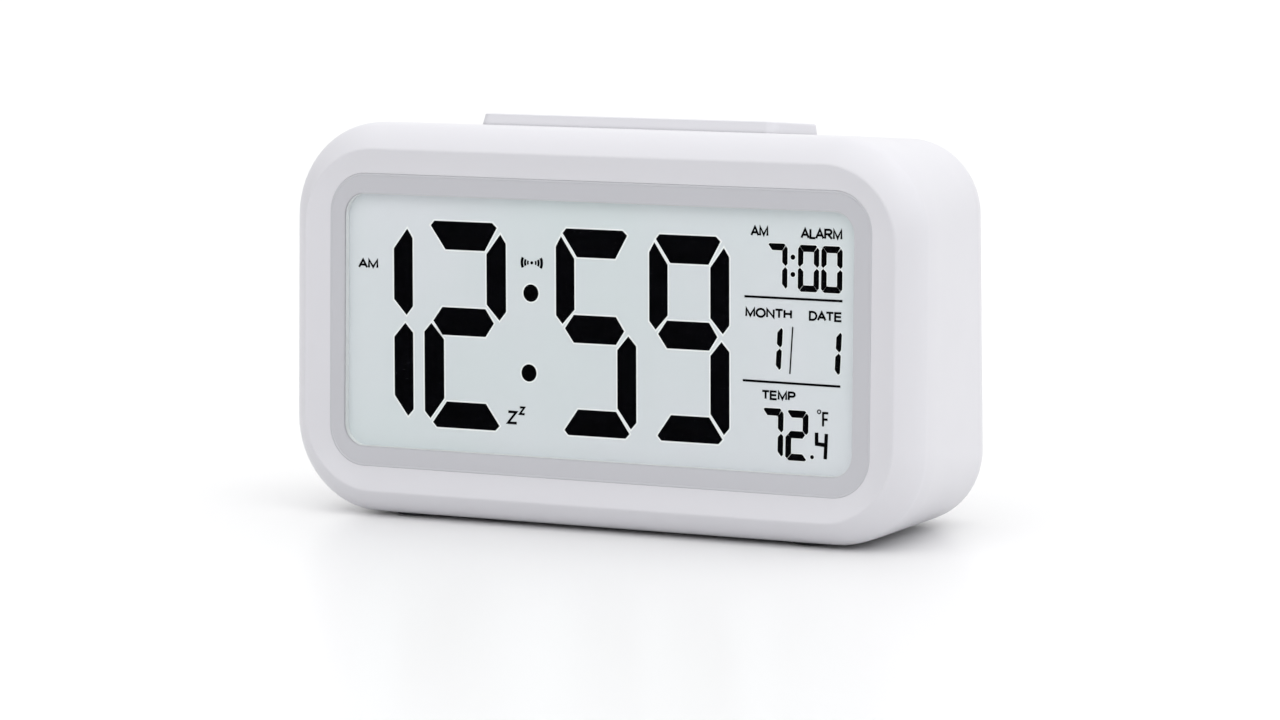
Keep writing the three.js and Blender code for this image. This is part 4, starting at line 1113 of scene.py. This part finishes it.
def build_cells():
    """AAA cells: a sleeved can with its shoulder, and in one piece its button end and its flat end."""
    for number, sign in ((1, 1), (2, -1), (3, 1)):
        low, high = span(f"battery_{number}")
        around = lying((low.y + high.y) / 2, (low.z + high.z) / 2)
        tail, tip = (low.x, high.x) if sign > 0 else (high.x, low.x)
        wide, shoulder = CELL.radius, tip - sign * CELL.nub

        def at(start, pairs, sign=sign):
            """(radius, along) pairs, with each distance counted from one end towards the tip."""
            return [(radius, start + sign * along) for radius, along in pairs]

        can = at(tail, [(wide - 0.9, 0.25), (wide - 0.5, 0.25), (wide - 0.4, 0), (wide - 0.15, 0),
                        (wide, 0.2)])
        can += at(shoulder, [(wide, -0.5), (wide - 0.15, -0.1), (wide - 0.5, 0), (wide - 1.0, 0),
                             (wide - 1.3, -0.3), (2.4, -0.3)])
        button = at(shoulder, [(1.9, -0.4)]) + at(tip, [(1.9, -0.25), (1.65, 0)])
        flat = at(tail, [(wide - 0.9, 0.3), (wide - 0.9, 0.1), (2.5, 0.02)])
        piece(f"cell_{number}", turned(can, 0, 0, around), "cell_sleeve", f"battery_{number}")
        ends = merge(turned(button, 0, 0, around), turned(flat, 0, 0, around))
        piece(f"cell_{number}_ends", ends, "nickel")


def contact_x(sign):
    """X of the middle of the sheet metal at the tray's left (-1) or right (1) wall."""
    return TRAY.x + sign * (TRAY.width / 2 - CONTACT.inset)


def row_z(row):
    return TRAY.z + row * CELL.pitch


def contact_plate(sign, low_row, high_row):
    x, half = contact_x(sign), CONTACT.thickness / 2
    height = (high_row - low_row) * CELL.pitch + 8.8
    shape = rect(CONTACT.width, height, CONTACT.corner, CELL.y, row_z((low_row + high_row) / 2))
    return slab(shape, x - half, x + half, lying(0, 0), (0.08, 0.08))


def contact_spring(sign, row):
    """A conical spring that presses on a cell's flat end."""
    wall = contact_x(sign) + sign * CONTACT.thickness / 2

    def at(share, angle):
        radius = 3.7 - 1.8 * share
        return (wall - sign * (0.7 + 3.5 * share), CELL.y + radius * cos(angle),
                row_z(row) + radius * sin(angle))

    return coil(0.35, 2.75, 90, at)


def contact_boss(sign, row):
    """The pressed dimple that meets a cell's button."""
    wall = contact_x(sign)
    dome = [(3.0, wall), (2.8, wall - sign * 0.3), (2.0, wall - sign * 0.5), (0.6, wall - sign * 0.55)]
    return turned(dome, 0, 0, lying(CELL.y, row_z(row)))


def contact_lug(sign, row):
    x, z, half = contact_x(sign), row_z(row), CONTACT.thickness / 2
    return block(x - half, x + half, 4, 9, z - 1.5, z + 1.5)


def build_contacts():
    contacts = {
        "left_lower": (-1, -1, 0, [contact_spring(-1, -1), contact_boss(-1, 0)]),
        "left_upper": (-1, 1, 1, [contact_spring(-1, 1), contact_lug(-1, 1)]),
        "right_lower": (1, -1, -1, [contact_boss(1, -1), contact_lug(1, -1)]),
        "right_upper": (1, 0, 1, [contact_spring(1, 0), contact_boss(1, 1)]),
    }
    for name, (sign, low_row, high_row, parts) in contacts.items():
        shape = merge(contact_plate(sign, low_row, high_row), *parts)
        piece(f"battery_contact_{name}", shape, "nickel", f"contact_{name}")


build_cells()
build_contacts()


# ---- buttons, switch, feet and buzzer

def button_mark(name, x):
    """A small raised sign on a button's face."""
    z, face = BUTTON_Z, BUTTON_FACE_Y
    start, end = face - 0.2, face + 0.18
    if name == "mode":
        return [turned([(1.15, start), (1.15, end), (0.75, end), (0.75, start)], x, z)]
    if name == "set":
        return [slab(rect(2.8, 0.6, 0.28, x, z + dz), start, end, rims=(0, 0.1)) for dz in (-0.6, 0.6)]
    way = 1 if name == "up" else -1
    corners = [(x - 1.3, z - way * 0.9), (x + 1.3, z - way * 0.9), (x, z + way * 1.1)]
    return [plate(corners, start, end, upright)]


def build_buttons():
    length, height, wider = BUTTON.length, BUTTON.height, 2 * BUTTON.flange
    inner = COVER_INNER_Y - FLANGE_GAP
    for name, x in BUTTON_X.items():
        flange = rect(length + wider, height + wider, 1.5, x, BUTTON_Z)
        shapes = [
            slab(rect(length, height, 2.68, x, BUTTON_Z), inner - 0.5, BUTTON_FACE_Y - 0.12,
                 rims=(0, 0.75), crown=0.12),
            slab(flange, inner - 1, inner, rims=(0.1, 0.1)),
            rod(x, BUTTON_Z, BUTTON.stem, 14.9, inner - 0.5, rims=(0.2, 0)),
            *button_mark(name, x),
        ]
        button = f"{name}_button"
        piece(f"{name}_key", merge(*shapes), "button_grey", button, body=button)


def build_slide_knob():
    x, inner = SLIDER.x, COVER_INNER_Y - FLANGE_GAP
    parts = [
        (3.0, 3.4, 0.6, x, inner - 0.5, BACK_Y + 0.45, (0, 0.2)),
        (9.2, 6.4, 0.6, x, inner - 0.9, inner, (0.1, 0.1)),
        (1.8, 1.4, 0.2, x, 14.6, inner - 0.4, (0.15, 0)),
        *((0.45, 2.8, 0.2, x + dx, BACK_Y, BACK_Y + 0.75, (0, 0.18)) for dx in (-0.9, 0, 0.9)),
    ]
    shapes = [slab(rect(wide, high, corner, middle, BUTTON_Z), start, end, rims=rims)
              for wide, high, corner, middle, start, end, rims in parts]
    piece("light_slider", merge(*shapes), "black_plastic", "light_switch_knob", body="light_switch")


def build_feet():
    for node, (x, y, radius, top) in foot_places().items():
        profile = [(radius - 0.7, 0.12), (radius - 0.7, 0.0), (radius - 0.3, 0.0), (radius - 0.08, 0.12),
                   (radius, 0.35), (radius, top)]
        piece(node.replace("foot_", "pad_"), turned(profile, x, y, level), "foot_rubber", node)


def build_buzzer():
    low, high = span("buzzer")
    front, back = low.y, high.y
    profile = [(7.2, front), (7.6, front + 0.15), (7.8, front + 0.6), (7.8, back - 0.5),
               (7.65, back - 0.15), (7.3, back), (3.2, back), (3.0, back - 0.2), (1.5, back - 0.2),
               (1.3, back - 0.4), (1.3, back - 1.2)]
    piece("buzzer_drum", turned(profile, SPEAKER.x, SPEAKER.z), "black_plastic", "buzzer")


build_buttons()
build_slide_knob()
build_feet()
build_buzzer()


# ---- CAD nodes that stay

def dress_frame_nodes():
    """Gives every CAD node that still shows its material, and softens its machined edges."""
    soft_edges = {"board": 0.1, "holder_plastic": 0.2, "black_plastic": 0.15, "steel": 0.08}
    for name, node in frame["nodes"].items():
        slot = SLOT_OF[name]
        if not node.data.materials:
            node.data.materials.append(None)
        for holder in node.material_slots:
            holder.material = LOOKS[slot].material
        if node.hide_render or slot not in soft_edges:
            continue
        soften = node.modifiers.new("soften", "BEVEL")
        soften.width = soft_edges[slot] * MM
        soften.segments = 2
        soften.limit_method = "ANGLE"
        soften.angle_limit = radians(40)


dress_frame_nodes()


# ---- camera, floor and light

VIEW = Sizes(azimuth=29.27, elevation=7.62, roll=-1.01, distance=0.9614, lens=141.97)
VIEW_TARGET = Vector((0.55, -2.71, 30.68)) * MM


def build_camera():
    azimuth, elevation, roll = (radians(turn) for turn in (VIEW.azimuth, VIEW.elevation, VIEW.roll))
    back = Vector((sin(azimuth) * cos(elevation), -cos(azimuth) * cos(elevation),
                   sin(elevation)))
    right = Vector((cos(azimuth), sin(azimuth), 0))
    up = back.cross(right)
    across = right * cos(roll) + up * sin(roll)
    upward = up * cos(roll) - right * sin(roll)
    data = bpy.data.cameras.new("camera")
    data.lens, data.sensor_width = VIEW.lens, 36
    data.clip_start, data.clip_end = 0.05, 50
    camera = in_scene("camera", data)
    turn = Matrix((across, upward, back)).transposed().to_4x4()
    camera.matrix_world = Matrix.Translation(VIEW_TARGET + back * VIEW.distance) @ turn
    bpy.context.scene.camera = camera


def build_floor():
    half = 6.0
    corners = [(-half, -half, 0), (half, -half, 0), (half, half, 0), (-half, half, 0)]
    mesh = bpy.data.meshes.new("floor")
    mesh.from_pydata(corners, [], [(0, 1, 2, 3)])
    floor = in_scene("floor", mesh)
    look = Look("floor", (0.84, 0.84, 0.845), 0.28, specular_ior_level=0.3)
    look.colours(look.noise(2, 2), (0.838, 0.838, 0.842), (0.848, 0.848, 0.851))
    mesh.materials.append(look.material)


# The studio's soft lights: direction, how far off it each one starts and peaks (as a cosine), strength
STUDIO = [
    ((0, 1, 0), -0.3, 0.8, 0.95),
    ((0, 0, 1), 0.55, 1.0, 0.66),
    ((0.81, -0.05, 0.57), 0.55, 1.0, 0.76),
    ((-0.55, -0.5, 0.67), 0.55, 1.0, 0.84),
    ((0.30, -0.57, 0.76), 0.55, 1.0, 0.89),
]
STUDIO_HAZE = 0.04  # brightness between the soft lights
LIGHT = Sizes(place=Vector((0.8, -0.35, 0.75)), size=0.5, watts=0.5)


def build_world():
    """A pale studio: wide soft lights overhead, to both sides and behind, and a dim haze."""
    world = bpy.data.worlds.new("studio")
    bpy.context.scene.world = world
    world.use_nodes = True
    tree = world.node_tree
    place = add_node(tree, "TexCoord", "Generated", {})
    total = STUDIO_HAZE
    for direction, start, peak, strength in STUDIO:
        toward = {0: place, 1: Vector(direction).normalized()}
        toward = add_node(tree, "VectorMath", "Value", toward, operation="DOT_PRODUCT")
        ends = {"From Min": start, "From Max": peak, "To Max": strength}
        glow = add_node(tree, "MapRange", "Result", {"Value": toward, **ends},
                        interpolation_type="SMOOTHSTEP")
        total = add_node(tree, "Math", "Value", {0: glow, 1: total})
    background = tree.nodes["Background"]
    tree.links.new(total, background.inputs["Strength"])
    background.inputs["Color"].default_value = (1.0, 1.0, 1.0, 1)


def build_light():
    """One soft light from the right, in front of the clock and above it."""
    data = bpy.data.lights.new("soft_right", "AREA")
    data.shape, data.size, data.energy = "SQUARE", LIGHT.size, LIGHT.watts
    light = in_scene("soft_right", data)
    light.location = LIGHT.place
    light.rotation_mode = "QUATERNION"
    middle = Vector((0, 0, HEIGHT / 2 * MM))
    light.rotation_quaternion = (middle - LIGHT.place).to_track_quat("-Z", "Y")


build_camera()
build_floor()
build_world()
build_light()
bpy.context.scene.view_settings.view_transform = "Standard"
